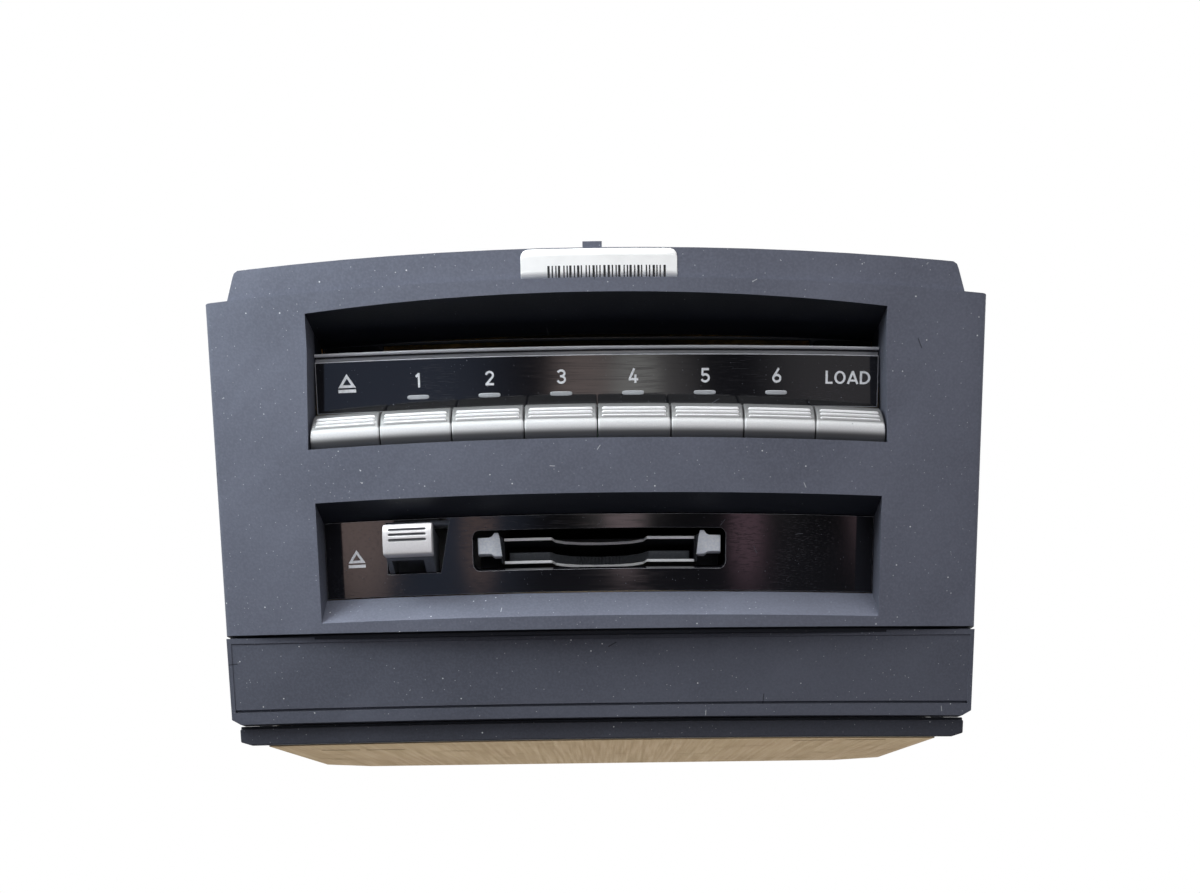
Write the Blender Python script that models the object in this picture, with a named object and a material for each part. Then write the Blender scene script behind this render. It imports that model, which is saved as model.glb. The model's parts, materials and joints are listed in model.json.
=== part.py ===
"""A car radio head unit with a disc slot, a row of eight keys and a card slot.

The frame: +X is to the right of someone facing the unit, +Y goes into the dashboard and +Z is up.
The origin lies on the flat underside of the chassis, on the centre line, a little behind the
floor's front edge. The pieces are drawn from the foot of the face and moved there at the end.

The face leans forward as it rises and bows towards the viewer, so every piece of the face is first
modelled flat: its y is then the depth behind the face. draping() then lays it on the leaning,
bowed face. The bow is made of flat facets, so flat walls stay flat.
"""
import math

import bmesh
import bpy
from mathutils import Matrix

# Clearances and walls shared by many pieces
GAP = 0.0003
OVERRUN = 0.005
SINK = 0.0005
SHEET = 0.0012
BOARD = 0.0016

# How far the origin lies behind the foot of the face
ORIGIN_BACK = 0.0150

# Fascia: the moulded front, with an opening for the disc pocket and keys and one for the card
FASCIA_TOP = 0.117
FASCIA_HALF_TOP = 0.109
FASCIA_FLARE = 0.0006
FASCIA_HALF_FOOT = FASCIA_HALF_TOP + FASCIA_FLARE
FASCIA_FOOT = 0.0291
FASCIA_FOOT_RISE = 0.0020
FASCIA_SKIN = 0.0026
FASCIA_WALL = 0.0020
FASCIA_DEPTH = 0.0132
FASCIA_RIB = 0.0016
FOOT_STEPS = 10

# The leaning, bowed face. The chassis's flat front plane keeps its place, and the bow stands before it
LEAN = math.tan(math.radians(27.5))
BOW_RADIUS = 0.365
FACET_WIDTH = 0.0137
PLANE_FOOT_Y = 0.014275
FACE_FOOT_Y = PLANE_FOOT_Y - FASCIA_HALF_TOP ** 2 / (2 * BOW_RADIUS)

# Upper opening: the disc pocket over the legend strip over the keys
FASCIA_CHEEK = 0.0290
POCKET_HALF = FASCIA_HALF_TOP - FASCIA_CHEEK
POCKET_BROW = 0.0040
POCKET_TOP = FASCIA_TOP - POCKET_BROW
POCKET_FALL = 0.0017
POCKET_BACK_TOP = POCKET_TOP - POCKET_FALL
POCKET_HEIGHT = 0.0100
LEDGE_FOOT = POCKET_TOP - POCKET_HEIGHT
POCKET_FLARE_TOP = LEDGE_FOOT
LEDGE_SEAM = 0.0004
STRIP_TOP = LEDGE_FOOT - LEDGE_SEAM
STRIP_HEIGHT = 0.0133
STRIP_FOOT = STRIP_TOP - STRIP_HEIGHT
KEY_TOP = STRIP_FOOT - GAP
KEY_HEIGHT = 0.0106
KEY_BOTTOM = KEY_TOP - KEY_HEIGHT
KEY_FOOT_ROOM = 0.0004
KEYS_FOOT = KEY_BOTTOM - KEY_FOOT_ROOM
KEYS_FLARE = 0.0012
KEYS_FOOT_HALF = POCKET_HALF + KEYS_FLARE
HOOD_LAP = 0.0025
HOOD_FOOT = LEDGE_FOOT - HOOD_LAP
HOOD_DEPTH = 0.0247

# Lower opening: the card recess, with a bevelled sill
RECESS_TOP = 0.0642
RECESS_SILL = 0.0326
RECESS_FOOT = 0.0404
RECESS_HALF = POCKET_HALF
PLATE_DEPTH = 0.0115
PLATE_THICK = 0.0020

# Inner mouldings of the upper opening bow only half as much as the fascia
INNER_BOW_share = 0.5
INNER_PIN = POCKET_HALF
STRIP_DEPTH = 0.0100
STRIP_THICK = 0.0020
LAMP_COUNT = 6
LAMP_WIDTH = 0.0062
LAMP_HEIGHT = 0.0017
LAMP_RISE = 0.0031
LAMP_Z = STRIP_FOOT + LAMP_RISE
LAMP_STANDOFF = 0.0002
GUIDE_BAR_DEPTH = 0.0030
LEDGE_RADIUS = 0.0010
POCKET_DEPTH = 0.0250
SLOT_CHEEK = 0.0180
SLOT_HALF = POCKET_HALF - SLOT_CHEEK
SLOT_SILL = 0.0020
SLOT_FOOT = LEDGE_FOOT + SLOT_SILL
SLOT_HEIGHT = 0.0054
SLOT_TOP = SLOT_FOOT + SLOT_HEIGHT

# Keys
KEY_COUNT = 8
KEY_ROW_LAP = 0.0008
KEY_PITCH = 2 * (POCKET_HALF + KEY_ROW_LAP) / KEY_COUNT
KEY_TRAVEL = 0.0015
KEY_WALL = 0.0014
KEY_BACK = 0.0130
KEY_FLARE = 0.0011
KEY_PROFILE_shares = (
    (0.76, 1.0), (0.53, 0.88), (0.32, 0.70), (0.15, 0.49), (0.045, 0.27), (0.025, 0.10), (0.11, 0.0),
)
KEY_STEM = 0.0030
RIB_COUNT = 3
RIB_WIDTH = 0.0006
RIB_RISE = 0.0004
RIB_INSET = 0.0020

# Key board, upright behind the keys
KEY_BOARD_Y = -0.0185
KEY_BOARD_LAP = 0.0015
KEY_BOARD_HALF = POCKET_HALF + KEY_BOARD_LAP
KEY_BOARD_RISE = 0.0020
KEY_BOARD_TOP = KEY_TOP + KEY_BOARD_RISE
SWITCH_SIDE = 0.0060
SWITCH_DEPTH = 0.0034
SWITCH_BUTTON = 0.0030
SWITCH_BUTTON_DEPTH = 0.0012

# Card mouth in the lower plate
MOUTH_HALF = 0.0363
MOUTH_FOOT = 0.04665
MOUTH_TOP = 0.0564
MOUTH_CORNER = 0.0020
CARD_HALF = 0.0274
CARD_FOOT = 0.0499
CARD_TOP = 0.0552
LIP_THICK = 0.0008
LIP_FRONT = 0.0160
MOUTH_BACK = 0.0260
EAR_FRONT = 0.0135
EAR_HALF = 0.0348
EAR_FOOT = 0.0520
THUMB_HALF = 0.0137
THUMB_DEPTH = 0.0085
THUMB_STEPS = 8

# Card eject button
EJECT_HOLE = (-0.0614, -0.0452)
EJECT_HOLE_TOP_RIGHT = -0.0428
EJECT_HOLE_FOOT = 0.0466
EJECT_HOLE_TOP = 0.0611
EJECT_SIDES = (-0.0610, -0.0469)
EJECT_TOP = 0.0584
EJECT_CAP_FOOT = 0.0498
EJECT_CAP_DEPTH = 0.0042
EJECT_BODY_FOOT = 0.0470
EJECT_BODY_BACK = 0.0230
EJECT_WALL = 0.0014
EJECT_CAP_shares = (
    (1.0, 1.0), (0.5, 0.96), (0.15, 0.84), (-0.03, 0.62), (-0.05, 0.32), (0.0, 0.06), (0.10, 0.0), (1.0, 0.0),
)
ROD_WIDTH = 0.0030
ROD_HEIGHT = 0.0020
ROD_END_Y = 0.0600

# Lower trim and the flange under it bow about two thirds as much as the fascia
TRIM_BOW_share = 0.65
TRIM_PIN = FASCIA_HALF_TOP
TRIM_STEP = 0.0001
TRIM_HALF = FASCIA_HALF_FOOT - TRIM_STEP
TRIM_DEPTH = 0.0066
TRIM_FOOT = 0.0059
TRIM_TOP = 0.0287
TRIM_TOP_RISE = 0.0011
TRIM_BORDER = 0.0014
TRIM_STRIP_TOP = 0.0092
TRIM_GROOVE = 0.0005
TRIM_GROOVE_DEPTH = 0.0013
TRIM_PANEL_SETBACK = 0.0003
TRIM_WALL = 0.0018
FLANGE_FRONT = 0.0028
FLANGE_THICK = 0.0030
FLANGE_TOP = 0.0048
FLANGE_FOOT = 0.0003
FLANGE_INSET = 0.0016
FLANGE_HALF = TRIM_HALF - FLANGE_INSET
FLANGE_CHAMFER = 0.0030
FLANGE_CHAMFER_RISE = 0.0009

# Carrier frame: bowed at the front to the fascia, flat at the back to the chassis
CARRIER_INSET = 0.0050
CARRIER_HALF = FASCIA_HALF_TOP - CARRIER_INSET
CARRIER_FOOT = 0.0016
CARRIER_RISE = 0.0023
CARRIER_TOP = FASCIA_TOP + CARRIER_RISE
CARRIER_FRONT = FASCIA_DEPTH + GAP
CARRIER_BACK = 0.0167
CARRIER_WALL = 0.0030
CARRIER_PIN = FASCIA_HALF_TOP
CARRIER_BARS = (0.0240, 0.0700)
RIM_FRONT = 0.0015
RIM_THICK = 0.0020
RIM_INSET = 0.0013
RIM_FOOT_HALF = CARRIER_HALF - RIM_INSET
RIM_DRAFT = 0.0021
RIM_TOP_HALF = RIM_FOOT_HALF - RIM_DRAFT
RIM_RISE = 0.0076
RIM_TOP = FASCIA_TOP + RIM_RISE
RIM_CORNER = 0.0016
NUB_SIDES = (-0.0034, 0.0018)
NUB_RISE = 0.0016

# Sheet-metal chassis
CHASSIS_INSET = 0.0090
CHASSIS_HALF = FASCIA_HALF_TOP - CHASSIS_INSET
CHASSIS_REAR = 0.1310
CHASSIS_CHAMFER = 0.0140
CHASSIS_TOP = 0.1160
FRONT_PLATE_DEPTH = CARRIER_BACK + GAP
PLATE_EDGE = 0.0004
COVER_LIP = 0.0070
VENT_LENGTH = 0.0300
VENT_WIDTH = 0.0030
VENT_PITCH = 0.0080
VENT_ROWS = 7
UNDER_SLOT_WIDTH = 0.0018
UNDER_SLOT_LENGTH = 0.0120
UNDER_SLOT_PLACES = ((-0.0820, 0.0385), (-0.0680, 0.0395), (0.0800, 0.0225), (0.0640, 0.0225))

# Side brackets
BRACKET_GAUGE = 0.0015
BRACKET_Y = (0.0260, 0.0850)
BRACKET_Z = (0.0220, 0.0960)
BRACKET_EAR = 0.0072
BRACKET_HOLE_RADIUS = 0.0022
BRACKET_HOLE_INSET = 0.0120
SCREW_HEAD_RADIUS = 0.0035
SCREW_HEAD_HEIGHT = 0.0022
SCREW_RECESS = 0.0012
SCREW_SPOTS_shares = ((0.20, 0.20), (0.80, 0.80))

# Rear fittings
SINK_SIDES = (0.0300, 0.0840)
SINK_Z = (0.0040, 0.0960)
SINK_BASE = 0.0030
SINK_FIN_DEPTH = 0.0140
SINK_FIN_COUNT = 10
SINK_FIN_THICK = 0.0018
FAN_CENTRE = (-0.0560, 0.0700)
FAN_SIDE = 0.0400
FAN_DEPTH = 0.0100
FAN_BORE = 0.0185
FAN_HUB = 0.0085
FAN_BLADES = 7
FAN_BLADE_TWIST = 35.0
FAN_BLADE_THICK = 0.0008
FAN_STRUT = 0.0022
FAN_HOLE_RADIUS = 0.0180
PLUG_SIDES = (-0.0200, 0.0240)
PLUG_Z = (0.0160, 0.0420)
PLUG_DEPTH = 0.0120
PLUG_WALL = 0.0018
PLUG_FLOOR = 0.0030
AERIAL_RADIUS = 0.0045
AERIAL_BORE = 0.0030
AERIAL_DEPTH = 0.0110
AERIAL_PLACES = ((-0.0080, 0.0620), (0.0100, 0.0620))
OPTIC_SIDES = (-0.0440, -0.0280)
OPTIC_Z = (0.0190, 0.0290)
OPTIC_DEPTH = 0.0080

# Inside: board, card cage, shelf, deck, disc guide and drives
MAIN_BOARD_Z = 0.0060
MAIN_BOARD_INSET = 0.0060
MAIN_BOARD_FRONT = 0.0380
STANDOFF_RADIUS = 0.0030
CHIP_SIDE = 0.0240
CHIP_HEIGHT = 0.0030
SHELF_Z = 0.0444
SHELF_FRONT = 0.0100
SHELF_REAR = CHASSIS_REAR - CHASSIS_CHAMFER - 2 * SHEET
CAGE_HALF = 0.0310
CAGE_FRONT = 0.0030
CAGE_REAR = 0.0850
CAGE_TOP = 0.0590
CAGE_WALL = 0.0010
CARD_PIN_BLOCK = 0.0060
EJECTOR_WIDTH = 0.0440
EJECTOR_THICK = 0.0012
EJECTOR_LENGTH = 0.0060
GUIDE_INSET = 0.0360
GUIDE_HALF = CHASSIS_HALF - GUIDE_INSET
MAGAZINE_HALF = GUIDE_HALF
MAGAZINE_FRONT = 0.0100
MAGAZINE_REAR_ROOM = 0.0110
MAGAZINE_Y = (MAGAZINE_FRONT, CHASSIS_REAR - MAGAZINE_REAR_ROOM)
MAGAZINE_SHELVES = 5
MAGAZINE_SHELF = 0.0010
DECK_Z = 0.0840
MAGAZINE_Z = (0.0640, DECK_Z - GAP)
DECK_FRONT = -0.0050
DECK_REAR = CHASSIS_REAR - CHASSIS_CHAMFER - 2 * SHEET
PILLAR_RADIUS = 0.0030
GUIDE_LIFT = 0.0004
GUIDE_Z = LEDGE_FOOT + GUIDE_LIFT
GUIDE_FRONT_STEP = 0.0455
GUIDE_FRONT = POCKET_DEPTH - GUIDE_FRONT_STEP
GUIDE_REAR_ROOM = 0.0060
GUIDE_REAR = CHASSIS_REAR - GUIDE_REAR_ROOM
GUIDE_CHEEK = 0.0020
ROLLER_SETBACK = 0.0165
ROLLER_Y = GUIDE_FRONT + ROLLER_SETBACK
ROLLER_DROP = 0.0008
ROLLER_Z = GUIDE_Z - ROLLER_DROP
ROLLER_RADIUS = 0.0040
ROLLER_END_ROOM = 0.0055
ROLLER_HALF = GUIDE_HALF - ROLLER_END_ROOM
JOURNAL_RADIUS = 0.0016
GEAR_MODULE = 0.0010
GEAR_TEETH = 20
PINION_TEETH = 10
GEAR_WIDTH = 0.0030
TOOTH_share = 0.33
TOOTH_TIP_share = 0.12
ADDENDUM_share = 0.75
DEDENDUM_share = 1.15
MOTOR_RADIUS = 0.0080
MOTOR_ROOM = 0.0108
DISC_REAR_ROOM = 0.0690
DISC_CENTRE_Y = CHASSIS_REAR - DISC_REAR_ROOM
TABLE_RADIUS = 0.0150
TABLE_THICK = 0.0020
TABLE_HUB_RADIUS = 0.0074
TABLE_HUB_RISE = 0.0014
SPINDLE_RADIUS = 0.0010
SPINDLE_MOTOR_RADIUS = 0.0120
SPINDLE_MOTOR_TOP = 0.0960
SLED_SPACING = 0.0220
SLED_Y = DISC_CENTRE_Y + SLED_SPACING
SLED_HALF = 0.0160
SLED_LENGTH = 0.0160
SLED_Z = (0.0900, 0.0990)
SLED_TRAVEL = 0.0170
LENS_RADIUS = 0.0030
LENS_RISE = 0.0012
RAIL_X = 0.0120
RAIL_Z = 0.0925
RAIL_RADIUS = 0.0012
RAIL_LEAD_IN = 0.0060
RAIL_LENGTH = 0.0420
RAIL_Y = (SLED_Y - RAIL_LEAD_IN, SLED_Y - RAIL_LEAD_IN + RAIL_LENGTH)
LEAD_RADIUS = 0.0011
SLED_MOTOR_LENGTH = 0.0080
ROUND_SIDES = 24
SMALL_SIDES = 12


def bow(x, share, pin):
    """How far the face has swept back at x, on facets of one width."""
    cell = math.floor(x / FACET_WIDTH)
    mix = x / FACET_WIDTH - cell
    near, far = cell * FACET_WIDTH, (cell + 1) * FACET_WIDTH
    square = (1 - mix) * near ** 2 + mix * far ** 2
    return (share * square + (1 - share) * pin ** 2) / (2 * BOW_RADIUS)


def face_y(x, z, depth=0.0, share=1.0, pin=0.0):
    """World y of a point at a depth behind the face."""
    return FACE_FOOT_Y - LEAN * z + bow(x, share, pin) + depth


def flat_plane_y(z, depth):
    """World y of a plane that leans as the face does and has no bow."""
    return face_y(0.0, z, depth, 0.0, CARRIER_PIN)


def collection(name):
    """A new collection in the scene."""
    made = bpy.data.collections.new(name)
    bpy.context.scene.collection.children.link(made)
    return made


def material(name, colour, roughness, metallic=0.0):
    """A plain Principled material."""
    made = bpy.data.materials.new(name)
    made.use_nodes = True
    shader = made.node_tree.nodes["Principled BSDF"]
    shader.inputs["Base Color"].default_value = (*colour, 1.0)
    shader.inputs["Roughness"].default_value = roughness
    shader.inputs["Metallic"].default_value = metallic
    return made


def from_bmesh(name, bm):
    """An object in the parts collection from a finished bmesh."""
    bmesh.ops.recalc_face_normals(bm, faces=bm.faces)
    mesh = bpy.data.meshes.new(name)
    bm.to_mesh(mesh)
    bm.free()
    obj = bpy.data.objects.new(name, mesh)
    PARTS.objects.link(obj)
    return obj


def block(name, x, y, z):
    """A box between two values on each axis."""
    bm = bmesh.new()
    bmesh.ops.create_cube(bm, size=1.0)
    bmesh.ops.scale(bm, vec=(x[1] - x[0], y[1] - y[0], z[1] - z[0]), verts=bm.verts)
    middle = [(pair[0] + pair[1]) / 2 for pair in (x, y, z)]
    bmesh.ops.translate(bm, vec=middle, verts=bm.verts)
    return from_bmesh(name, bm)


AXES = {
    "x": Matrix(((0, 0, 1, 0), (1, 0, 0, 0), (0, 1, 0, 0), (0, 0, 0, 1))),
    "y": Matrix(((1, 0, 0, 0), (0, 0, -1, 0), (0, 1, 0, 0), (0, 0, 0, 1))),
    "z": Matrix.Identity(4),
}


def rod(name, axis, centre, radius, span, sides=ROUND_SIDES, far_radius=None):
    """A round bar along an axis; centre holds its place on the other two axes, in x, y, z order."""
    bm = bmesh.new()
    end = radius if far_radius is None else far_radius
    length = span[1] - span[0]
    bmesh.ops.create_cone(
        bm, cap_ends=True, segments=sides, radius1=radius, radius2=end, depth=length
    )
    turn = {"x": Matrix.Rotation(math.pi / 2, 4, "Y"), "y": Matrix.Rotation(-math.pi / 2, 4, "X")}
    if axis in turn:
        bmesh.ops.transform(bm, matrix=turn[axis], verts=bm.verts)
    middle = list(centre)
    middle.insert("xyz".index(axis), (span[0] + span[1]) / 2)
    bmesh.ops.translate(bm, vec=middle, verts=bm.verts)
    return from_bmesh(name, bm)


def prism(name, axis, outline, span):
    """A flat outline pushed along an axis from one value to another.

    The outline is in (y, z) along x, in (x, z) along y and in (x, y) along z.
    """
    curve = bpy.data.curves.new(name, "CURVE")
    curve.dimensions = "2D"
    curve.fill_mode = "BOTH"
    curve.extrude = (span[1] - span[0]) / 2
    line = curve.splines.new("POLY")
    line.points.add(len(outline) - 1)
    for point, (a, b) in zip(line.points, outline):
        point.co = (a, b, 0.0, 1.0)
    line.use_cyclic_u = True
    drawn = bpy.data.objects.new(name, curve)
    PARTS.objects.link(drawn)
    bpy.context.view_layer.update()
    view = bpy.context.evaluated_depsgraph_get()
    mesh = bpy.data.meshes.new_from_object(drawn.evaluated_get(view))
    bpy.data.objects.remove(drawn)
    bm = bmesh.new()
    bm.from_mesh(mesh)
    bpy.data.meshes.remove(mesh)
    bmesh.ops.remove_doubles(bm, verts=bm.verts, dist=GAP / 100)
    bmesh.ops.transform(bm, matrix=AXES[axis], verts=bm.verts)
    shift = [0.0, 0.0, 0.0]
    shift["xyz".index(axis)] = (span[0] + span[1]) / 2
    bmesh.ops.translate(bm, vec=shift, verts=bm.verts)
    return from_bmesh(name, bm)


def tool(obj):
    """Moves an object out of the parts, to be used only as a guide for another."""
    PARTS.objects.unlink(obj)
    CUTTERS.objects.link(obj)
    obj.hide_render = True
    obj.display_type = "WIRE"
    return obj


def combine(obj, operation, others):
    """Adds an exact boolean for each of the others."""
    for other in others:
        change = obj.modifiers.new(operation.lower(), "BOOLEAN")
        change.operation = operation
        change.solver = "EXACT"
        change.object = tool(other)
    return obj


def cut(obj, *others):
    """Takes the others away from an object."""
    return combine(obj, "DIFFERENCE", others)


def join(obj, *others):
    """Joins the others to an object as one body."""
    return combine(obj, "UNION", others)


def settle(obj):
    """Makes an object's modifiers part of its mesh, and takes away the guides they used."""
    bpy.context.view_layer.update()
    view = bpy.context.evaluated_depsgraph_get()
    mesh = bpy.data.meshes.new_from_object(obj.evaluated_get(view))
    guides = [change.object for change in obj.modifiers if change.type == "BOOLEAN"]
    obj.modifiers.clear()
    obj.data = mesh
    for guide in guides:
        bpy.data.objects.remove(guide)
    return obj


def draping(obj, share=1.0, pin=0.0, back_share=None, turn_depths=(0.0, 1.0)):
    """Lays a flat piece on the leaning, bowed face.

    share is how much of the bow the piece follows, and pin the x where it meets the full bow.
    With back_share, the share changes between the two turn_depths.
    """
    settle(obj)
    bm = bmesh.new()
    bm.from_mesh(obj.data)
    reach = max(abs(v.co.x) for v in bm.verts)
    cells = math.ceil(reach / FACET_WIDTH)
    for cell in range(-cells, cells + 1):
        geometry = bm.verts[:] + bm.edges[:] + bm.faces[:]
        bmesh.ops.bisect_plane(
            bm, geom=geometry, dist=GAP / 100, plane_co=(cell * FACET_WIDTH, 0, 0), plane_no=(1, 0, 0)
        )
    for v in bm.verts:
        part = share
        if back_share is not None:
            along = (v.co.y - turn_depths[0]) / (turn_depths[1] - turn_depths[0])
            part = share + (back_share - share) * min(1.0, max(0.0, along))
        v.co.y = face_y(v.co.x, v.co.z, v.co.y, part, pin)
    bm.to_mesh(obj.data)
    bm.free()
    return obj


def finish(obj, look):
    """Gives a piece its material."""
    obj.data.materials.clear()
    obj.data.materials.append(look)
    return obj


def set_origin(obj, point):
    """Moves an object's origin to a point and leaves its shape where it is."""
    obj.data.transform(Matrix.Translation([-value for value in point]))
    obj.location = point
    return obj


def rounded_outline(x, z, radius, steps=4):
    """A rectangle with rounded corners, as points."""
    points = []
    corners = ((x[1], z[1], 0), (x[0], z[1], 1), (x[0], z[0], 2), (x[1], z[0], 3))
    for cx, cz, quarter in corners:
        sx = cx - radius if quarter in (0, 3) else cx + radius
        sz = cz - radius if quarter in (0, 1) else cz + radius
        for step in range(steps + 1):
            angle = (quarter + step / steps) * math.pi / 2
            points.append((sx + radius * math.cos(angle), sz + radius * math.sin(angle)))
    return points


def foot_line(half, foot, rise, steps):
    """Points of an edge that is lowest in the middle and rises to both ends, left to right."""
    spots = [half * (2 * step / steps - 1) for step in range(steps + 1)]
    return [(x, foot + rise * (x / half) ** 2) for x in spots]


def front_fascia(look):
    """The moulded front: a skin with a skirt, two framed openings and a hood over the pocket."""
    def outline(inset, foot_inset):
        top = FASCIA_TOP - inset
        half_top = FASCIA_HALF_TOP - inset
        line = foot_line(FASCIA_HALF_FOOT - inset, FASCIA_FOOT + foot_inset, FASCIA_FOOT_RISE, FOOT_STEPS)
        return line + [(half_top, top), (-half_top, top)]

    def opening(grow, top):
        half, low_half = POCKET_HALF + grow, KEYS_FOOT_HALF + grow
        return [
            (half, top),
            (-half, top),
            (-half, POCKET_FLARE_TOP),
            (-low_half, KEYS_FOOT - grow),
            (low_half, KEYS_FOOT - grow),
            (half, POCKET_FLARE_TOP),
        ]

    wall = FASCIA_WALL
    through = (-OVERRUN, HOOD_DEPTH + OVERRUN)
    fascia = prism("front_fascia", "y", outline(0.0, 0.0), (0.0, FASCIA_DEPTH))
    cavity = prism("cavity", "y", outline(wall, wall * 0.75), (FASCIA_SKIN, FASCIA_DEPTH + OVERRUN))
    frame_outline = opening(wall, POCKET_TOP + wall)
    frame = prism("upper_frame", "y", frame_outline, (FASCIA_SKIN / 2, FASCIA_DEPTH - SINK))
    hood_sides = (-POCKET_HALF - wall, POCKET_HALF + wall)
    hood = block("hood", hood_sides, (FASCIA_SKIN, HOOD_DEPTH), (HOOD_FOOT, POCKET_TOP + wall))
    sill = [
        (FASCIA_SKIN / 2, RECESS_TOP + wall),
        (FASCIA_DEPTH - SINK, RECESS_TOP + wall),
        (FASCIA_DEPTH - SINK, RECESS_FOOT - wall),
        (PLATE_DEPTH - wall / 2, RECESS_FOOT - wall),
        (FASCIA_SKIN / 2, RECESS_SILL - wall / 2),
    ]
    recess_frame = prism("lower_frame", "x", sill, (-RECESS_HALF - wall, RECESS_HALF + wall))
    ceiling_fall = (POCKET_TOP - POCKET_BACK_TOP) / POCKET_DEPTH
    ceiling = [
        (through[0], POCKET_TOP - ceiling_fall * through[0]),
        (through[0], HOOD_FOOT - OVERRUN),
        (through[1], HOOD_FOOT - OVERRUN),
        (through[1], POCKET_TOP - ceiling_fall * through[1]),
    ]
    pocket = prism("pocket_void", "x", ceiling, (-POCKET_HALF, POCKET_HALF))
    keys = prism("keys_void", "y", opening(0.0, POCKET_FLARE_TOP + SINK), through)
    sill_slope = (RECESS_FOOT - RECESS_SILL) / PLATE_DEPTH
    recess = [
        (through[0], RECESS_TOP),
        (through[0], RECESS_SILL + sill_slope * through[0]),
        (PLATE_DEPTH, RECESS_FOOT),
        (through[1], RECESS_FOOT),
        (through[1], RECESS_TOP),
    ]
    card = prism("card_void", "x", recess, (-RECESS_HALF, RECESS_HALF))
    cheek = (POCKET_HALF + FASCIA_HALF_TOP) / 2
    ribs = [
        block(
            "cheek_rib", (side * cheek - FASCIA_RIB / 2, side * cheek + FASCIA_RIB / 2),
            (FASCIA_SKIN / 2, FASCIA_DEPTH - SINK), (RECESS_SILL - wall / 2, FASCIA_TOP - wall / 2),
        )
        for side in (-1, 1)
    ]
    cut(fascia, cavity)
    join(fascia, frame, hood, recess_frame, *ribs)
    cut(fascia, pocket, keys, card)
    draping(fascia, 1.0, INNER_PIN, INNER_BOW_share, (FASCIA_DEPTH, HOOD_DEPTH))
    return finish(fascia, look)


def legend_strip(look):
    """The glossy strip over the keys, with six small windows."""
    sides = (-POCKET_HALF + GAP, POCKET_HALF - GAP)
    depth = (STRIP_DEPTH, STRIP_DEPTH + STRIP_THICK)
    strip = block("legend_strip", sides, depth, (STRIP_FOOT, STRIP_TOP))
    cut(strip, *[prism("window", "y", lamp_outline(i, GAP), (0.0, OVERRUN * 4)) for i in range(LAMP_COUNT)])
    draping(strip, INNER_BOW_share, INNER_PIN)
    return finish(strip, look)


def lamp_outline(index, grow=0.0):
    """The rounded outline of one window."""
    x = (index - (LAMP_COUNT - 1) / 2) * KEY_PITCH
    half, rise = LAMP_WIDTH / 2 + grow, LAMP_HEIGHT / 2 + grow
    return rounded_outline((x - half, x + half), (LAMP_Z - rise, LAMP_Z + rise), rise * 0.8, 3)


def light_guide(look):
    """A clear bar behind the strip, with a finger through each window."""
    half = (LAMP_COUNT + 1) / 2 * KEY_PITCH
    back = STRIP_DEPTH + STRIP_THICK + GAP
    bar = block(
        "light_guide", (-half, half), (back, back + GUIDE_BAR_DEPTH),
        (LAMP_Z - LAMP_HEIGHT, LAMP_Z + LAMP_HEIGHT),
    )
    front = STRIP_DEPTH - LAMP_STANDOFF
    fingers = [
        prism("finger", "y", lamp_outline(i), (front, back + GUIDE_BAR_DEPTH / 2))
        for i in range(LAMP_COUNT)
    ]
    join(bar, *fingers)
    draping(bar, INNER_BOW_share, INNER_PIN)
    return finish(bar, look)


def disc_pocket(look):
    """The pocket's floor with its rolled front edge, and its back wall with the disc slot."""
    half = POCKET_HALF - GAP
    ledge = LEDGE_FOOT + GAP
    roll = [
        (
            STRIP_DEPTH + LEDGE_RADIUS - LEDGE_RADIUS * math.sin(math.pi * step / 6),
            ledge + LEDGE_RADIUS - LEDGE_RADIUS * math.cos(math.pi * step / 6),
        )
        for step in range(7)
    ]
    floor_top = ledge + 2 * LEDGE_RADIUS
    back = (POCKET_DEPTH, POCKET_DEPTH + STRIP_THICK)
    profile = roll + [
        (back[0], floor_top - LEDGE_RADIUS / 4),
        (back[0], POCKET_BACK_TOP - LEDGE_RADIUS / 4),
        (back[1], POCKET_BACK_TOP - LEDGE_RADIUS / 4),
        (back[1], ledge),
    ]
    liner = prism("disc_pocket", "x", profile, (-half, half))
    through = (back[0] - OVERRUN / 2, back[1] + OVERRUN)
    slot = block("slot", (-SLOT_HALF, SLOT_HALF), through, (SLOT_FOOT, SLOT_TOP))
    cut(liner, slot)
    draping(liner, INNER_BOW_share, INNER_PIN)
    return finish(liner, look)


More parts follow.
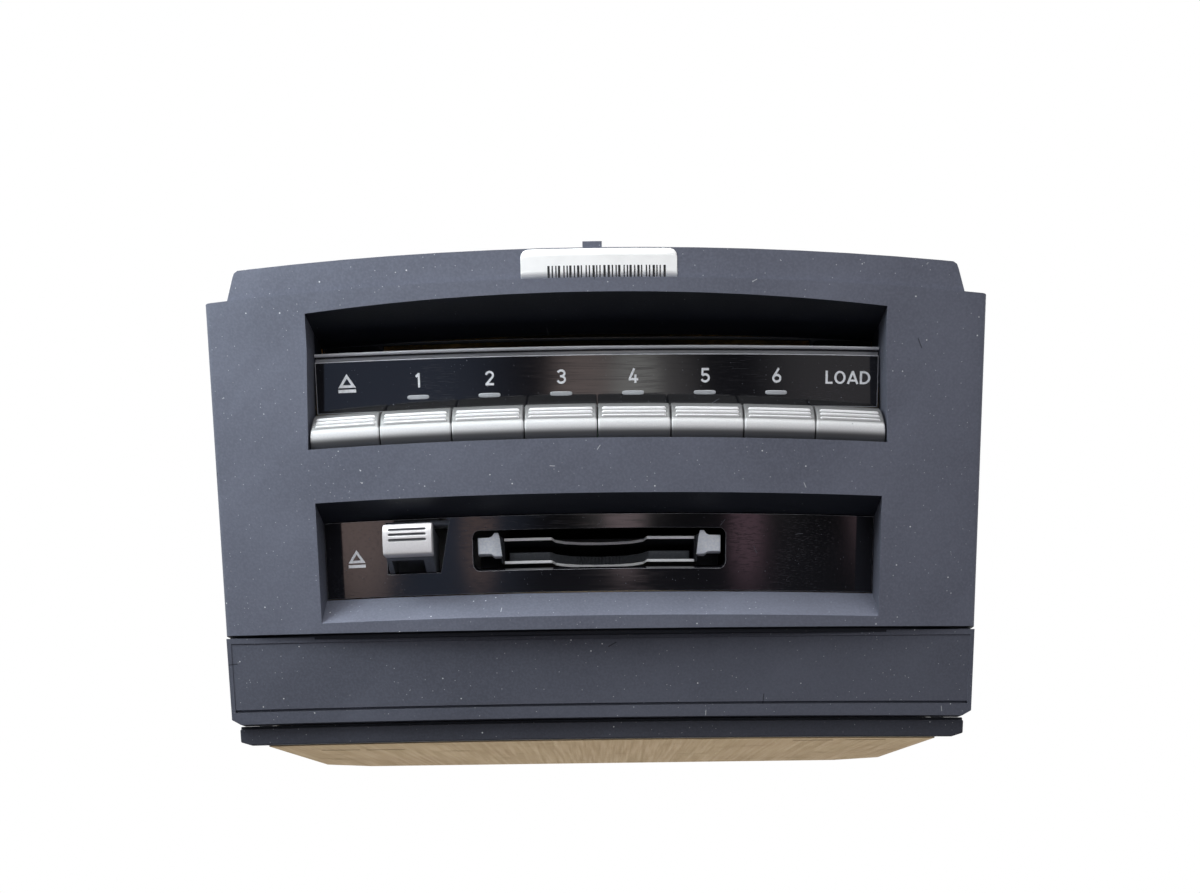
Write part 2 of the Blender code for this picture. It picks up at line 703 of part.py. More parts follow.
def key_solid(index, look, name):
    """One key: a rolled front with three ribs, hollow at the back, and its stem."""
    middle = (index - (KEY_COUNT - 1) / 2) * KEY_PITCH
    left, right = middle - KEY_PITCH / 2 + GAP / 2, middle + KEY_PITCH / 2 - GAP / 2
    first, last = index == 0, index == KEY_COUNT - 1
    height = KEY_TOP - KEY_BOTTOM
    roll = [(KEY_BACK * a, KEY_BOTTOM + height * b) for a, b in KEY_PROFILE_shares]
    profile = [(KEY_BACK, KEY_BOTTOM), (KEY_BACK, KEY_TOP)] + roll
    span = (left - KEY_FLARE * first, right + KEY_FLARE * last)
    key = prism(name, "x", profile, span)
    if first or last:
        side = -1 if first else 1
        top_x, foot_x = side * (POCKET_HALF - GAP), side * (POCKET_HALF - GAP + KEY_FLARE)
        slope = (foot_x - top_x) / height
        low, high = KEY_BOTTOM - OVERRUN, KEY_TOP + OVERRUN
        wedge = [
            (top_x - slope * (high - KEY_TOP), high),
            (foot_x + slope * (KEY_BOTTOM - low), low),
            (foot_x + side * OVERRUN, low),
            (foot_x + side * OVERRUN, high),
        ]
        cut(key, prism("key_side", "y", wedge, (-OVERRUN, KEY_BACK + OVERRUN)))
    (a0, b0), (a1, b1) = roll[0], roll[1]
    length = math.hypot(a1 - a0, b1 - b0)
    out = ((b0 - b1) / length, (a0 - a1) / length)
    for rib in range(RIB_COUNT):
        t = (rib + 0.5) / RIB_COUNT
        centre = (a0 + (a1 - a0) * t, b0 + (b1 - b0) * t)
        along = ((a1 - a0) / length * RIB_WIDTH / 2, (b1 - b0) / length * RIB_WIDTH / 2)
        raised = (-out[0] * RIB_RISE, out[1] * RIB_RISE)
        ridge = [
            (centre[0] - along[0] - raised[0], centre[1] - along[1] - raised[1]),
            (centre[0] + along[0] - raised[0], centre[1] + along[1] - raised[1]),
            (centre[0] + along[0] + raised[0], centre[1] + along[1] + raised[1]),
            (centre[0] - along[0] + raised[0], centre[1] - along[1] + raised[1]),
        ]
        join(key, prism("rib", "x", ridge, (left + RIB_INSET, right - RIB_INSET)))
    inner = (
        (left + KEY_WALL, right - KEY_WALL),
        (KEY_BACK * 0.45, KEY_BACK + OVERRUN),
        (KEY_BOTTOM + KEY_WALL, KEY_TOP - KEY_WALL - height * 0.1),
    )
    cut(key, block("key_hollow", *inner))
    draping(key)
    z = (KEY_BOTTOM + KEY_TOP) / 2
    root = face_y(middle, z, KEY_BACK * 0.4)
    end = switch_face_y() - GAP
    nose = KEY_STEM / 2
    stem = block("stem", (middle - nose, middle + nose), (root, end), (z - nose, z + nose))
    join(key, stem)
    settle(key)
    set_origin(key, (middle, face_y(middle, z), z))
    return finish(key, look)


def switch_face_y():
    """World y of the tips of the switches, with the keys' whole travel free in front of the bodies."""
    return KEY_BOARD_Y - SWITCH_DEPTH - SWITCH_BUTTON_DEPTH - KEY_TRAVEL


def key_board(look):
    """The upright board behind the keys, with one push switch for each key."""
    foot = CARRIER_BARS[1] + CARRIER_WALL + GAP
    thick = (KEY_BOARD_Y, KEY_BOARD_Y + BOARD)
    board = block("key_board", (-KEY_BOARD_HALF, KEY_BOARD_HALF), thick, (foot, KEY_BOARD_TOP))
    z = (KEY_BOTTOM + KEY_TOP) / 2
    half = SWITCH_SIDE / 2
    for index in range(KEY_COUNT):
        x = (index - (KEY_COUNT - 1) / 2) * KEY_PITCH
        front = KEY_BOARD_Y - SWITCH_DEPTH
        body = block("switch", (x - half, x + half), (front, KEY_BOARD_Y + SINK), (z - half, z + half))
        nose = SWITCH_BUTTON / 2
        reach = (front - SWITCH_BUTTON_DEPTH, front + SINK)
        plunger = block("plunger", (x - nose, x + nose), reach, (z - nose, z + nose))
        join(board, body, plunger)
    return finish(board, look)


def lower_plate(look):
    """The glossy plate of the card recess, with holes for the card mouth and the eject button."""
    depth = (PLATE_DEPTH, PLATE_DEPTH + PLATE_THICK)
    half = RECESS_HALF - GAP
    plate = block("lower_plate", (-half, half), depth, (RECESS_FOOT + GAP, RECESS_TOP - GAP))
    through = (depth[0] - OVERRUN, depth[1] + OVERRUN)
    mouth = rounded_outline((-MOUTH_HALF, MOUTH_HALF), (MOUTH_FOOT, MOUTH_TOP), MOUTH_CORNER)
    eject = [
        (EJECT_HOLE[0], EJECT_HOLE_FOOT),
        (EJECT_HOLE[1], EJECT_HOLE_FOOT),
        (EJECT_HOLE_TOP_RIGHT, EJECT_HOLE_TOP),
        (EJECT_HOLE[0], EJECT_HOLE_TOP),
    ]
    cut(plate, prism("mouth_hole", "y", mouth, through), prism("eject_hole", "y", eject, through))
    draping(plate)
    return finish(plate, look)


def card_mouth(look):
    """The guide in the card slot: two lips with a thumb notch and an ear at each end."""
    inner = (-CARD_HALF, CARD_HALF)
    outer = (-EAR_HALF, EAR_HALF)
    depth = (LIP_FRONT, MOUTH_BACK)
    frame = block(
        "card_mouth", outer, (EAR_FRONT, MOUTH_BACK), (CARD_FOOT - LIP_THICK, CARD_TOP + LIP_THICK)
    )
    card_way = block("card_way", inner, (EAR_FRONT - OVERRUN, MOUTH_BACK + OVERRUN), (CARD_FOOT, CARD_TOP))
    ear_step = [
        block(
            "ear_step", side, (EAR_FRONT - OVERRUN, LIP_FRONT + (MOUTH_BACK - LIP_FRONT) / 2),
            (CARD_FOOT - LIP_THICK - OVERRUN, EAR_FOOT),
        )
        for side in ((outer[0] - OVERRUN, inner[0] - LIP_THICK), (inner[1] + LIP_THICK, outer[1] + OVERRUN))
    ]
    lip_cut = block(
        "lip_cut", (inner[0] - SINK, inner[1] + SINK), (EAR_FRONT - OVERRUN, depth[0]),
        (CARD_FOOT - LIP_THICK - OVERRUN, CARD_TOP + LIP_THICK + OVERRUN),
    )
    arc = [(-THUMB_HALF, depth[0] - OVERRUN), (THUMB_HALF, depth[0] - OVERRUN)]
    for step in range(THUMB_STEPS + 1):
        angle = math.pi * step / THUMB_STEPS
        arc.append((THUMB_HALF * math.cos(angle), depth[0] + THUMB_DEPTH * math.sin(angle) ** 0.8))
    thumb = prism(
        "thumb", "z", arc, (CARD_FOOT - LIP_THICK - OVERRUN, CARD_TOP + LIP_THICK + OVERRUN)
    )
    cut(frame, card_way, lip_cut, thumb, *ear_step)
    draping(frame)
    return finish(frame, look)


def eject_button(cap_look, body_look):
    """The card's eject button: a ribbed cap on a body that is hollow underneath, with its rod."""
    height = EJECT_TOP - EJECT_CAP_FOOT
    profile = [(EJECT_CAP_DEPTH * a, EJECT_CAP_FOOT + height * b) for a, b in EJECT_CAP_shares]
    cap = prism("eject_cap", "x", profile, EJECT_SIDES)
    left, right = EJECT_SIDES[0] + RIB_INSET, EJECT_SIDES[1] - RIB_INSET
    for rib in range(RIB_COUNT):
        z = EJECT_CAP_FOOT + height * (0.88 - 0.16 * rib)
        groove = block(
            "groove", (left, right), (-OVERRUN, RIB_RISE * (3 - rib)), (z - RIB_WIDTH / 2, z + RIB_WIDTH / 2)
        )
        cut(cap, groove)
    draping(cap)
    front = EJECT_CAP_DEPTH + GAP
    side = (EJECT_SIDES[0] + GAP, EJECT_SIDES[1] - GAP)
    shape = [
        (front, EJECT_CAP_FOOT),
        (PLATE_DEPTH, EJECT_BODY_FOOT),
        (EJECT_BODY_BACK, EJECT_BODY_FOOT),
        (EJECT_BODY_BACK, EJECT_TOP - GAP),
        (front, EJECT_TOP - GAP),
    ]
    body = prism("eject_body", "x", shape, side)
    hollow = [
        (front + EJECT_WALL, EJECT_BODY_FOOT - OVERRUN),
        (EJECT_BODY_BACK - EJECT_WALL * 2, EJECT_BODY_FOOT - OVERRUN),
        (EJECT_BODY_BACK - EJECT_WALL * 2, EJECT_TOP - EJECT_WALL * 2),
        (front + EJECT_WALL, EJECT_TOP - EJECT_WALL * 2),
    ]
    cut(body, prism("eject_hollow", "x", hollow, (side[0] + EJECT_WALL, side[1] - EJECT_WALL * 2)))
    draping(body)
    middle = (side[0] + side[1]) / 2
    z = (EJECT_BODY_FOOT + EJECT_TOP) / 2
    root = face_y(middle, z, EJECT_BODY_BACK) - EJECT_WALL / 2
    rail = block(
        "rail", (middle - ROD_WIDTH / 2, middle + ROD_WIDTH / 2), (root, ROD_END_Y),
        (z - ROD_HEIGHT / 2, z + ROD_HEIGHT / 2),
    )
    join(body, rail)
    settle(body)
    point = (middle, face_y(middle, z), z)
    set_origin(cap, point)
    set_origin(body, point)
    return finish(cap, cap_look), finish(body, body_look)


def lower_trim(look):
    """The plain panel under the fascia, inside a raised border of one moulding."""
    def outline(grow_side, grow_top, foot):
        half = TRIM_HALF + grow_side
        line = foot_line(half, TRIM_TOP + grow_top, TRIM_TOP_RISE, FOOT_STEPS)
        return [(half, foot), (-half, foot)] + line

    trim = prism("lower_trim", "y", outline(0.0, 0.0, TRIM_FOOT), (0.0, TRIM_DEPTH))
    cavity = prism(
        "trim_cavity", "y", outline(-TRIM_WALL, -TRIM_WALL, TRIM_FOOT + TRIM_WALL),
        (TRIM_GROOVE_DEPTH + TRIM_WALL, TRIM_DEPTH + OVERRUN),
    )
    groove_foot = TRIM_STRIP_TOP
    panel_cut = prism(
        "panel_cut", "y", outline(-TRIM_BORDER, OVERRUN, groove_foot), (-OVERRUN, TRIM_PANEL_SETBACK)
    )
    groove = block(
        "groove", (-TRIM_HALF + TRIM_BORDER, TRIM_HALF - TRIM_BORDER), (-OVERRUN, TRIM_GROOVE_DEPTH),
        (groove_foot, groove_foot + TRIM_GROOVE),
    )
    cut(trim, cavity, panel_cut, groove)
    draping(trim, TRIM_BOW_share, TRIM_PIN)
    return finish(trim, look)


def bottom_flange(look):
    """The narrow flange under the trim, with its lower corners cut off."""
    low = FLANGE_FOOT + FLANGE_CHAMFER_RISE
    inner = FLANGE_HALF - FLANGE_CHAMFER
    outline = [
        (-FLANGE_HALF, FLANGE_TOP),
        (-FLANGE_HALF, low),
        (-inner, FLANGE_FOOT),
        (inner, FLANGE_FOOT),
        (FLANGE_HALF, low),
        (FLANGE_HALF, FLANGE_TOP),
    ]
    flange = prism("bottom_flange", "y", outline, (FLANGE_FRONT, FLANGE_FRONT + FLANGE_THICK))
    draping(flange, TRIM_BOW_share, TRIM_PIN)
    return finish(flange, look)


def carrier_frame(look):
    """The ribbed frame behind the fascia, with the thin rim that stands up over its top."""
    depth = (CARRIER_FRONT, CARRIER_BACK)
    wall = CARRIER_WALL
    through = (depth[0] - OVERRUN, depth[1] + OVERRUN)
    frame = block("carrier_frame", (-CARRIER_HALF, CARRIER_HALF), depth, (CARRIER_FOOT, CARRIER_TOP))
    levels = [CARRIER_FOOT, *CARRIER_BARS, CARRIER_TOP - wall]
    inner = CARRIER_HALF - wall
    for low, high in zip(levels, levels[1:]):
        cut(frame, block("bay", (-inner, inner), through, (low + wall, high)))
    shelf_z = FASCIA_TOP + GAP
    shelf = block(
        "shelf", (-RIM_FOOT_HALF + SINK, RIM_FOOT_HALF - SINK), (RIM_FRONT, depth[0] + SINK),
        (shelf_z, CARRIER_TOP - SINK),
    )
    rim = [
        (-RIM_FOOT_HALF, shelf_z),
        (RIM_FOOT_HALF, shelf_z),
        (RIM_TOP_HALF, RIM_TOP - RIM_CORNER),
        (RIM_TOP_HALF - RIM_CORNER / 3, RIM_TOP - RIM_CORNER / 3),
        (RIM_TOP_HALF - RIM_CORNER, RIM_TOP),
        (-RIM_TOP_HALF + RIM_CORNER, RIM_TOP),
        (-RIM_TOP_HALF + RIM_CORNER / 3, RIM_TOP - RIM_CORNER / 3),
        (-RIM_TOP_HALF, RIM_TOP - RIM_CORNER),
    ]
    rim_piece = prism("rim", "y", rim, (RIM_FRONT, RIM_FRONT + RIM_THICK))
    nub = block(
        "nub", NUB_SIDES, (RIM_FRONT + RIM_THICK / 4, RIM_FRONT + RIM_THICK * 0.8),
        (RIM_TOP - SINK, RIM_TOP + NUB_RISE),
    )
    join(frame, shelf, rim_piece, nub)
    draping(frame, 1.0, CARRIER_PIN, 0.0, depth)
    return finish(frame, look)


def front_plate(look):
    """The leaning sheet that closes the chassis, with windows for the disc and the card."""
    half = CHASSIS_HALF - PLATE_EDGE
    depth = (FRONT_PLATE_DEPTH, FRONT_PLATE_DEPTH + SHEET)
    plate = block("front_plate", (-half, half), depth, (SHEET + GAP, CHASSIS_TOP - PLATE_EDGE))
    through = (depth[0] - OVERRUN, depth[1] + OVERRUN)
    disc = block(
        "disc_window", (-POCKET_HALF - OVERRUN, POCKET_HALF + OVERRUN), through,
        (HOOD_FOOT - FASCIA_WALL, CHASSIS_TOP + OVERRUN),
    )
    card = block(
        "card_window", (EJECT_HOLE[0] - PLATE_EDGE * 4, MOUTH_HALF + PLATE_EDGE * 4), through,
        (SHELF_Z - GAP, RECESS_TOP - PLATE_EDGE),
    )
    cut(plate, disc, card)
    draping(plate, 0.0, CARRIER_PIN)
    return finish(plate, look)


def plan_outline(inset, front):
    """The chassis in plan, with its rear corners cut off; front lists its front edge, right to left."""
    half, rear = CHASSIS_HALF - inset, CHASSIS_REAR - inset
    cut_in = CHASSIS_CHAMFER + inset * (math.sqrt(2) - 2)
    left = [(-half, rear - cut_in), (-half + cut_in, rear)]
    right = [(half - cut_in, rear), (half, rear - cut_in)]
    return front + left + right


def chassis_tray(look):
    """Folded sheet: floor, sides and back in one piece, with a leaning front edge."""
    edge = []
    for step in range(FOOT_STEPS + 1):
        x = CHASSIS_HALF * (1 - 2 * step / FOOT_STEPS)
        back = FLANGE_FRONT + FLANGE_THICK + 2 * GAP
        edge.append((x, face_y(x, 0.0, back, TRIM_BOW_share, TRIM_PIN)))
    front_y = face_y(0.0, CHASSIS_TOP)
    sides = [(CHASSIS_HALF, front_y), (-CHASSIS_HALF, front_y)]
    tray = prism("chassis_tray", "z", plan_outline(0.0, sides), (0.0, CHASSIS_TOP))
    beyond = [(-CHASSIS_HALF - OVERRUN, front_y - OVERRUN), (CHASSIS_HALF + OVERRUN, front_y - OVERRUN)]
    ends = [(CHASSIS_HALF + OVERRUN, edge[0][1])], [(-CHASSIS_HALF - OVERRUN, edge[-1][1])]
    floor_front = prism("floor_front", "z", ends[0] + edge + ends[1] + beyond, (-OVERRUN, SHEET + SINK))
    inside_half = CHASSIS_HALF - SHEET
    inside = prism(
        "inside", "z", plan_outline(SHEET, [(inside_half, front_y), (-inside_half, front_y)]),
        (SHEET, CHASSIS_TOP + OVERRUN),
    )
    plane = FRONT_PLATE_DEPTH + SHEET + GAP
    low, high = SHEET, CHASSIS_TOP + OVERRUN
    slant = [
        (flat_plane_y(low, plane), low),
        (flat_plane_y(high, plane), high),
        (front_y - OVERRUN, high),
        (front_y - OVERRUN, low),
    ]
    front = prism("front_slant", "x", slant, (-CHASSIS_HALF - OVERRUN, CHASSIS_HALF + OVERRUN))
    rear = (CHASSIS_REAR - OVERRUN, CHASSIS_REAR + OVERRUN)
    fan = rod("fan_hole", "y", FAN_CENTRE, FAN_HOLE_RADIUS, rear)
    slots = [
        block(
            "under_slot", (x - UNDER_SLOT_LENGTH / 2, x + UNDER_SLOT_LENGTH / 2),
            (y - UNDER_SLOT_WIDTH / 2, y + UNDER_SLOT_WIDTH / 2), (-OVERRUN, SHEET * 2),
        )
        for x, y in UNDER_SLOT_PLACES
    ]
    cut(tray, inside, front, floor_front, fan, *slots)
    return finish(tray, look)


def top_cover(look):
    """The lid: a plate with a lip over the sides and back, and rows of vents."""
    front_y = flat_plane_y(CHASSIS_TOP, FRONT_PLATE_DEPTH + SHEET + GAP)
    grow = SHEET + GAP
    outer_half = CHASSIS_HALF + grow
    cover = prism(
        "top_cover", "z", plan_outline(-grow, [(outer_half, front_y), (-outer_half, front_y)]),
        (CHASSIS_TOP - COVER_LIP, CHASSIS_TOP + GAP + SHEET),
    )
    inner_half = CHASSIS_HALF + GAP
    inside = prism(
        "lid_inside", "z",
        plan_outline(-GAP, [(inner_half, front_y - OVERRUN), (-inner_half, front_y - OVERRUN)]),
        (CHASSIS_TOP - COVER_LIP - OVERRUN, CHASSIS_TOP + GAP),
    )
    plane = FRONT_PLATE_DEPTH + SHEET + GAP
    low, high = CHASSIS_TOP - COVER_LIP - OVERRUN, CHASSIS_TOP + OVERRUN
    slant = [
        (flat_plane_y(low, plane), low),
        (flat_plane_y(high, plane), high),
        (front_y - OVERRUN, high),
        (front_y - OVERRUN, low),
    ]
    lip_slant = prism("lip_slant", "x", slant, (-outer_half - OVERRUN, outer_half + OVERRUN))
    cut(cover, inside, lip_slant)
    for side in (-1, 1):
        for row in range(VENT_ROWS):
            x = side * CHASSIS_HALF / 2
            y = CHASSIS_REAR - CHASSIS_CHAMFER - row * VENT_PITCH
            vent = block(
                "vent", (x - VENT_LENGTH / 2, x + VENT_LENGTH / 2), (y - VENT_WIDTH / 2, y + VENT_WIDTH / 2),
                (CHASSIS_TOP - OVERRUN, CHASSIS_TOP + OVERRUN),
            )
            cut(cover, vent)
    return finish(cover, look)


def bracket(name, side, look):
    """A side bracket: a plate on the chassis wall with an ear turned out at its front."""
    inner = CHASSIS_HALF + GAP
    x = sorted((side * inner, side * (inner + BRACKET_GAUGE)))
    plate = block(name, x, BRACKET_Y, BRACKET_Z)
    reach = sorted((side * (inner + BRACKET_GAUGE / 2), side * (inner + BRACKET_EAR)))
    ear_y = (BRACKET_Y[0], BRACKET_Y[0] + BRACKET_GAUGE)
    join(plate, block("ear", reach, ear_y, (BRACKET_Z[0] + SINK, BRACKET_Z[1] - SINK)))
    hole_x = side * (inner + (BRACKET_GAUGE + BRACKET_EAR) / 2)
    through = (ear_y[0] - OVERRUN, ear_y[1] + OVERRUN)
    for z in (BRACKET_Z[0] + BRACKET_HOLE_INSET, BRACKET_Z[1] - BRACKET_HOLE_INSET):
        cut(plate, rod("hole", "y", (hole_x, z), BRACKET_HOLE_RADIUS, through, SMALL_SIDES))
    return finish(plate, look)


def bracket_screws(side, tag, look):
    """The screws that hold a side bracket: round heads with a square recess."""
    made = []
    face = CHASSIS_HALF + GAP + BRACKET_GAUGE + GAP
    for number, (a, b) in enumerate(SCREW_SPOTS_shares, 1):
        y = BRACKET_Y[0] + (BRACKET_Y[1] - BRACKET_Y[0]) * a
        z = BRACKET_Z[0] + (BRACKET_Z[1] - BRACKET_Z[0]) * b
        crown = face + SCREW_HEAD_HEIGHT
        span = sorted((side * face, side * crown))
        head = rod(f"screw_{tag}_{number}", "x", (y, z), SCREW_HEAD_RADIUS, span, SMALL_SIDES)
        deep = sorted((side * (crown - SCREW_RECESS), side * (crown + OVERRUN)))
        half = SCREW_HEAD_RADIUS / 3
        cut(head, block("recess", deep, (y - half, y + half), (z - half, z + half)))
        made.append(finish(head, look))
    return made


def heat_sink(look):
    """A finned block on the back."""
    base_y = (CHASSIS_REAR + GAP, CHASSIS_REAR + GAP + SINK_BASE)
    body = block("heat_sink", SINK_SIDES, base_y, SINK_Z)
    pitch = (SINK_SIDES[1] - SINK_SIDES[0] - SINK_FIN_THICK) / (SINK_FIN_COUNT - 1)
    for fin in range(SINK_FIN_COUNT):
        x = SINK_SIDES[0] + fin * pitch
        inset = SINK * (fin in (0, SINK_FIN_COUNT - 1))
        blade = block(
            "fin", (x + inset, x + SINK_FIN_THICK - inset), (base_y[1] - SINK, base_y[1] + SINK_FIN_DEPTH),
            (SINK_Z[0] + SINK, SINK_Z[1] - SINK),
        )
        join(body, blade)
    return finish(body, look)


def fan(frame_look, rotor_look):
    """The cooling fan: a square frame with struts, and a seven-bladed rotor."""
    x, z = FAN_CENTRE
    half = FAN_SIDE / 2
    y = (CHASSIS_REAR + GAP, CHASSIS_REAR + GAP + FAN_DEPTH)
    frame = block("fan_frame", (x - half, x + half), y, (z - half, z + half))
    cut(frame, rod("fan_bore", "y", (x, z), FAN_BORE, (y[0] - OVERRUN, y[1] + OVERRUN)))
    strut_y = (y[1] - FAN_STRUT, y[1] - SINK)
    reach = FAN_BORE + SINK
    join(
        frame,
        block("strut", (x - reach, x + reach), strut_y, (z - FAN_STRUT / 2, z + FAN_STRUT / 2)),
        block("strut", (x - FAN_STRUT / 2, x + FAN_STRUT / 2), strut_y, (z - reach, z + reach)),
        rod("fan_seat", "y", (x, z), FAN_HUB, (strut_y[0] - SINK, strut_y[1]), SMALL_SIDES),
    )
    hub_end = strut_y[0] - SINK - GAP
    rotor = rod("fan_rotor", "y", (x, z), FAN_HUB, (y[0] + SINK, hub_end), ROUND_SIDES)
    tip = FAN_BORE - 2 * GAP
    for index in range(FAN_BLADES):
        blade = block(
            "blade", (FAN_HUB - SINK * 2, tip), (-FAN_BLADE_THICK / 2, FAN_BLADE_THICK / 2),
            (-FAN_DEPTH / 3, FAN_DEPTH / 3),
        )
        place = (
            Matrix.Translation((x, (y[0] + hub_end) / 2, z))
            @ Matrix.Rotation(2 * math.pi * index / FAN_BLADES, 4, "Y")
            @ Matrix.Rotation(math.radians(FAN_BLADE_TWIST), 4, "X")
        )
        blade.data.transform(place)
        join(rotor, blade)
    settle(rotor)
    set_origin(rotor, (x, (y[0] + hub_end) / 2, z))
    return finish(frame, frame_look), finish(rotor, rotor_look)


def rear_sockets(plastic, metal):
    """The plug block with four chambers, an optical socket and two aerial sockets."""
    y = (CHASSIS_REAR + GAP, CHASSIS_REAR + GAP + PLUG_DEPTH)
    plug = block("main_connector", PLUG_SIDES, y, PLUG_Z)
    wide = (PLUG_SIDES[1] - PLUG_SIDES[0] - 3 * PLUG_WALL) / 2
    tall = (PLUG_Z[1] - PLUG_Z[0] - 3 * PLUG_WALL) / 2
    for column in range(2):
        for row in range(2):
            x0 = PLUG_SIDES[0] + PLUG_WALL + column * (wide + PLUG_WALL)
            z0 = PLUG_Z[0] + PLUG_WALL + row * (tall + PLUG_WALL)
            cut(plug, block("chamber", (x0, x0 + wide), (y[0] + PLUG_FLOOR, y[1] + OVERRUN), (z0, z0 + tall)))
    optic_y = (y[0], y[0] + OPTIC_DEPTH)
    optic = block("optical_connector", OPTIC_SIDES, optic_y, OPTIC_Z)
    inner_x = (OPTIC_SIDES[0] + PLUG_WALL, OPTIC_SIDES[1] - PLUG_WALL)
    inner_z = (OPTIC_Z[0] + PLUG_WALL, OPTIC_Z[1] - PLUG_WALL)
    cut(optic, block("optic_bore", inner_x, (y[0] + PLUG_FLOOR, optic_y[1] + OVERRUN), inner_z))
    made = [finish(plug, plastic), finish(optic, plastic)]
    for number, place in enumerate(AERIAL_PLACES, 1):
        end = y[0] + AERIAL_DEPTH
        socket = rod(f"aerial_socket_{number}", "y", place, AERIAL_RADIUS, (y[0], end), SMALL_SIDES)
        cut(socket, rod("bore", "y", place, AERIAL_BORE, (y[0] + PLUG_FLOOR, end + OVERRUN), SMALL_SIDES))
        made.append(finish(socket, metal))
    return made


def main_board(look):
    """The main circuit board on its standoffs, with its larger packages."""
    half = CHASSIS_HALF - SHEET - MAIN_BOARD_INSET
    rear = CHASSIS_REAR - CHASSIS_CHAMFER
    z = (MAIN_BOARD_Z, MAIN_BOARD_Z + BOARD)
    board = block("main_board", (-half, half), (MAIN_BOARD_FRONT, rear), z)
    inset = STANDOFF_RADIUS * 2
    tall = (SHEET + GAP, z[0] + SINK)
    for x in (-half + inset, half - inset):
        for y in (MAIN_BOARD_FRONT + inset, rear - inset):
            join(board, rod("standoff", "z", (x, y), STANDOFF_RADIUS, tall, SMALL_SIDES))
    for x, y in ((-half / 2, rear * 0.7), (half / 3, rear * 0.6)):
        join(board, block("chip", (x, x + CHIP_SIDE), (y, y + CHIP_SIDE), (z[1] - SINK, z[1] + CHIP_HEIGHT)))
    return finish(board, look)


def card_shelf(look):
    """A sheet shelf across the chassis that carries the card cage."""
    half = CHASSIS_HALF - SHEET - GAP
    shelf = block("card_shelf", (-half, half), (SHELF_FRONT, SHELF_REAR), (SHELF_Z, SHELF_Z + SHEET))
    return finish(shelf, look)


def card_cage(look):
    """The metal cage that the card slides into, open at the front, with its contact block."""
    foot = SHELF_Z + SHEET + GAP
    outer = block("card_cage", (-CAGE_HALF, CAGE_HALF), (CAGE_FRONT, CAGE_REAR), (foot, CAGE_TOP))
    inner_half = CAGE_HALF - CAGE_WALL
    way = block(
        "cage_way", (-inner_half, inner_half), (CAGE_FRONT - OVERRUN, CAGE_REAR - CARD_PIN_BLOCK),
        (foot + CAGE_WALL, CAGE_TOP - CAGE_WALL),
    )
    cut(outer, way)
    return finish(outer, look)


def card_ejector(look):
    """The slide in the cage that pushes the card out when the button goes in."""
    half = EJECTOR_WIDTH / 2
    rear = CAGE_REAR - CARD_PIN_BLOCK - GAP
    z = CAGE_TOP - CAGE_WALL - GAP
    slide = block(
        "card_ejector", (-half, half), (rear - EJECTOR_LENGTH, rear), (z - EJECTOR_THICK, z)
    )
    hook_y = (rear - EJECTOR_THICK, rear - SINK)
    join(slide, block("hook", (-half, -half + EJECTOR_LENGTH), hook_y, (CARD_FOOT, z - SINK)))
    set_origin(slide, (0.0, rear - EJECTOR_LENGTH / 2, z))
    return finish(slide, look)


def disc_magazine(look):
    """The rack under the deck that stores the discs on thin shelves."""
    rack = block("disc_magazine", (-MAGAZINE_HALF, MAGAZINE_HALF), MAGAZINE_Y, MAGAZINE_Z)
    pitch = (MAGAZINE_Z[1] - MAGAZINE_Z[0] - MAGAZINE_SHELF) / MAGAZINE_SHELVES
    inner = MAGAZINE_HALF - GUIDE_CHEEK
    deep = (MAGAZINE_Y[0] - OVERRUN, MAGAZINE_Y[1] - GUIDE_CHEEK)
    for shelf in range(MAGAZINE_SHELVES):
        low = MAGAZINE_Z[0] + MAGAZINE_SHELF + shelf * pitch
        space = (low, low + pitch - MAGAZINE_SHELF)
        cut(rack, block("disc_space", (-inner, inner), deep, space))
    return finish(rack, look)


def mech_deck(look):
    """The sheet deck of the disc drive, with the pillars under the disc guide."""
    half = CHASSIS_HALF - SHEET - GAP
    deck = block("mech_deck", (-half, half), (DECK_FRONT, DECK_REAR), (DECK_Z, DECK_Z + SHEET))
    tall = (DECK_Z + SHEET / 2, GUIDE_Z - GAP)
    for x in (-GUIDE_HALF + PILLAR_RADIUS * 3, GUIDE_HALF - PILLAR_RADIUS * 3):
        for y in (DECK_FRONT + PILLAR_RADIUS * 5, DECK_REAR - PILLAR_RADIUS * 3):
            join(deck, rod("pillar", "z", (x, y), PILLAR_RADIUS, tall, SMALL_SIDES))
    return finish(deck, look)


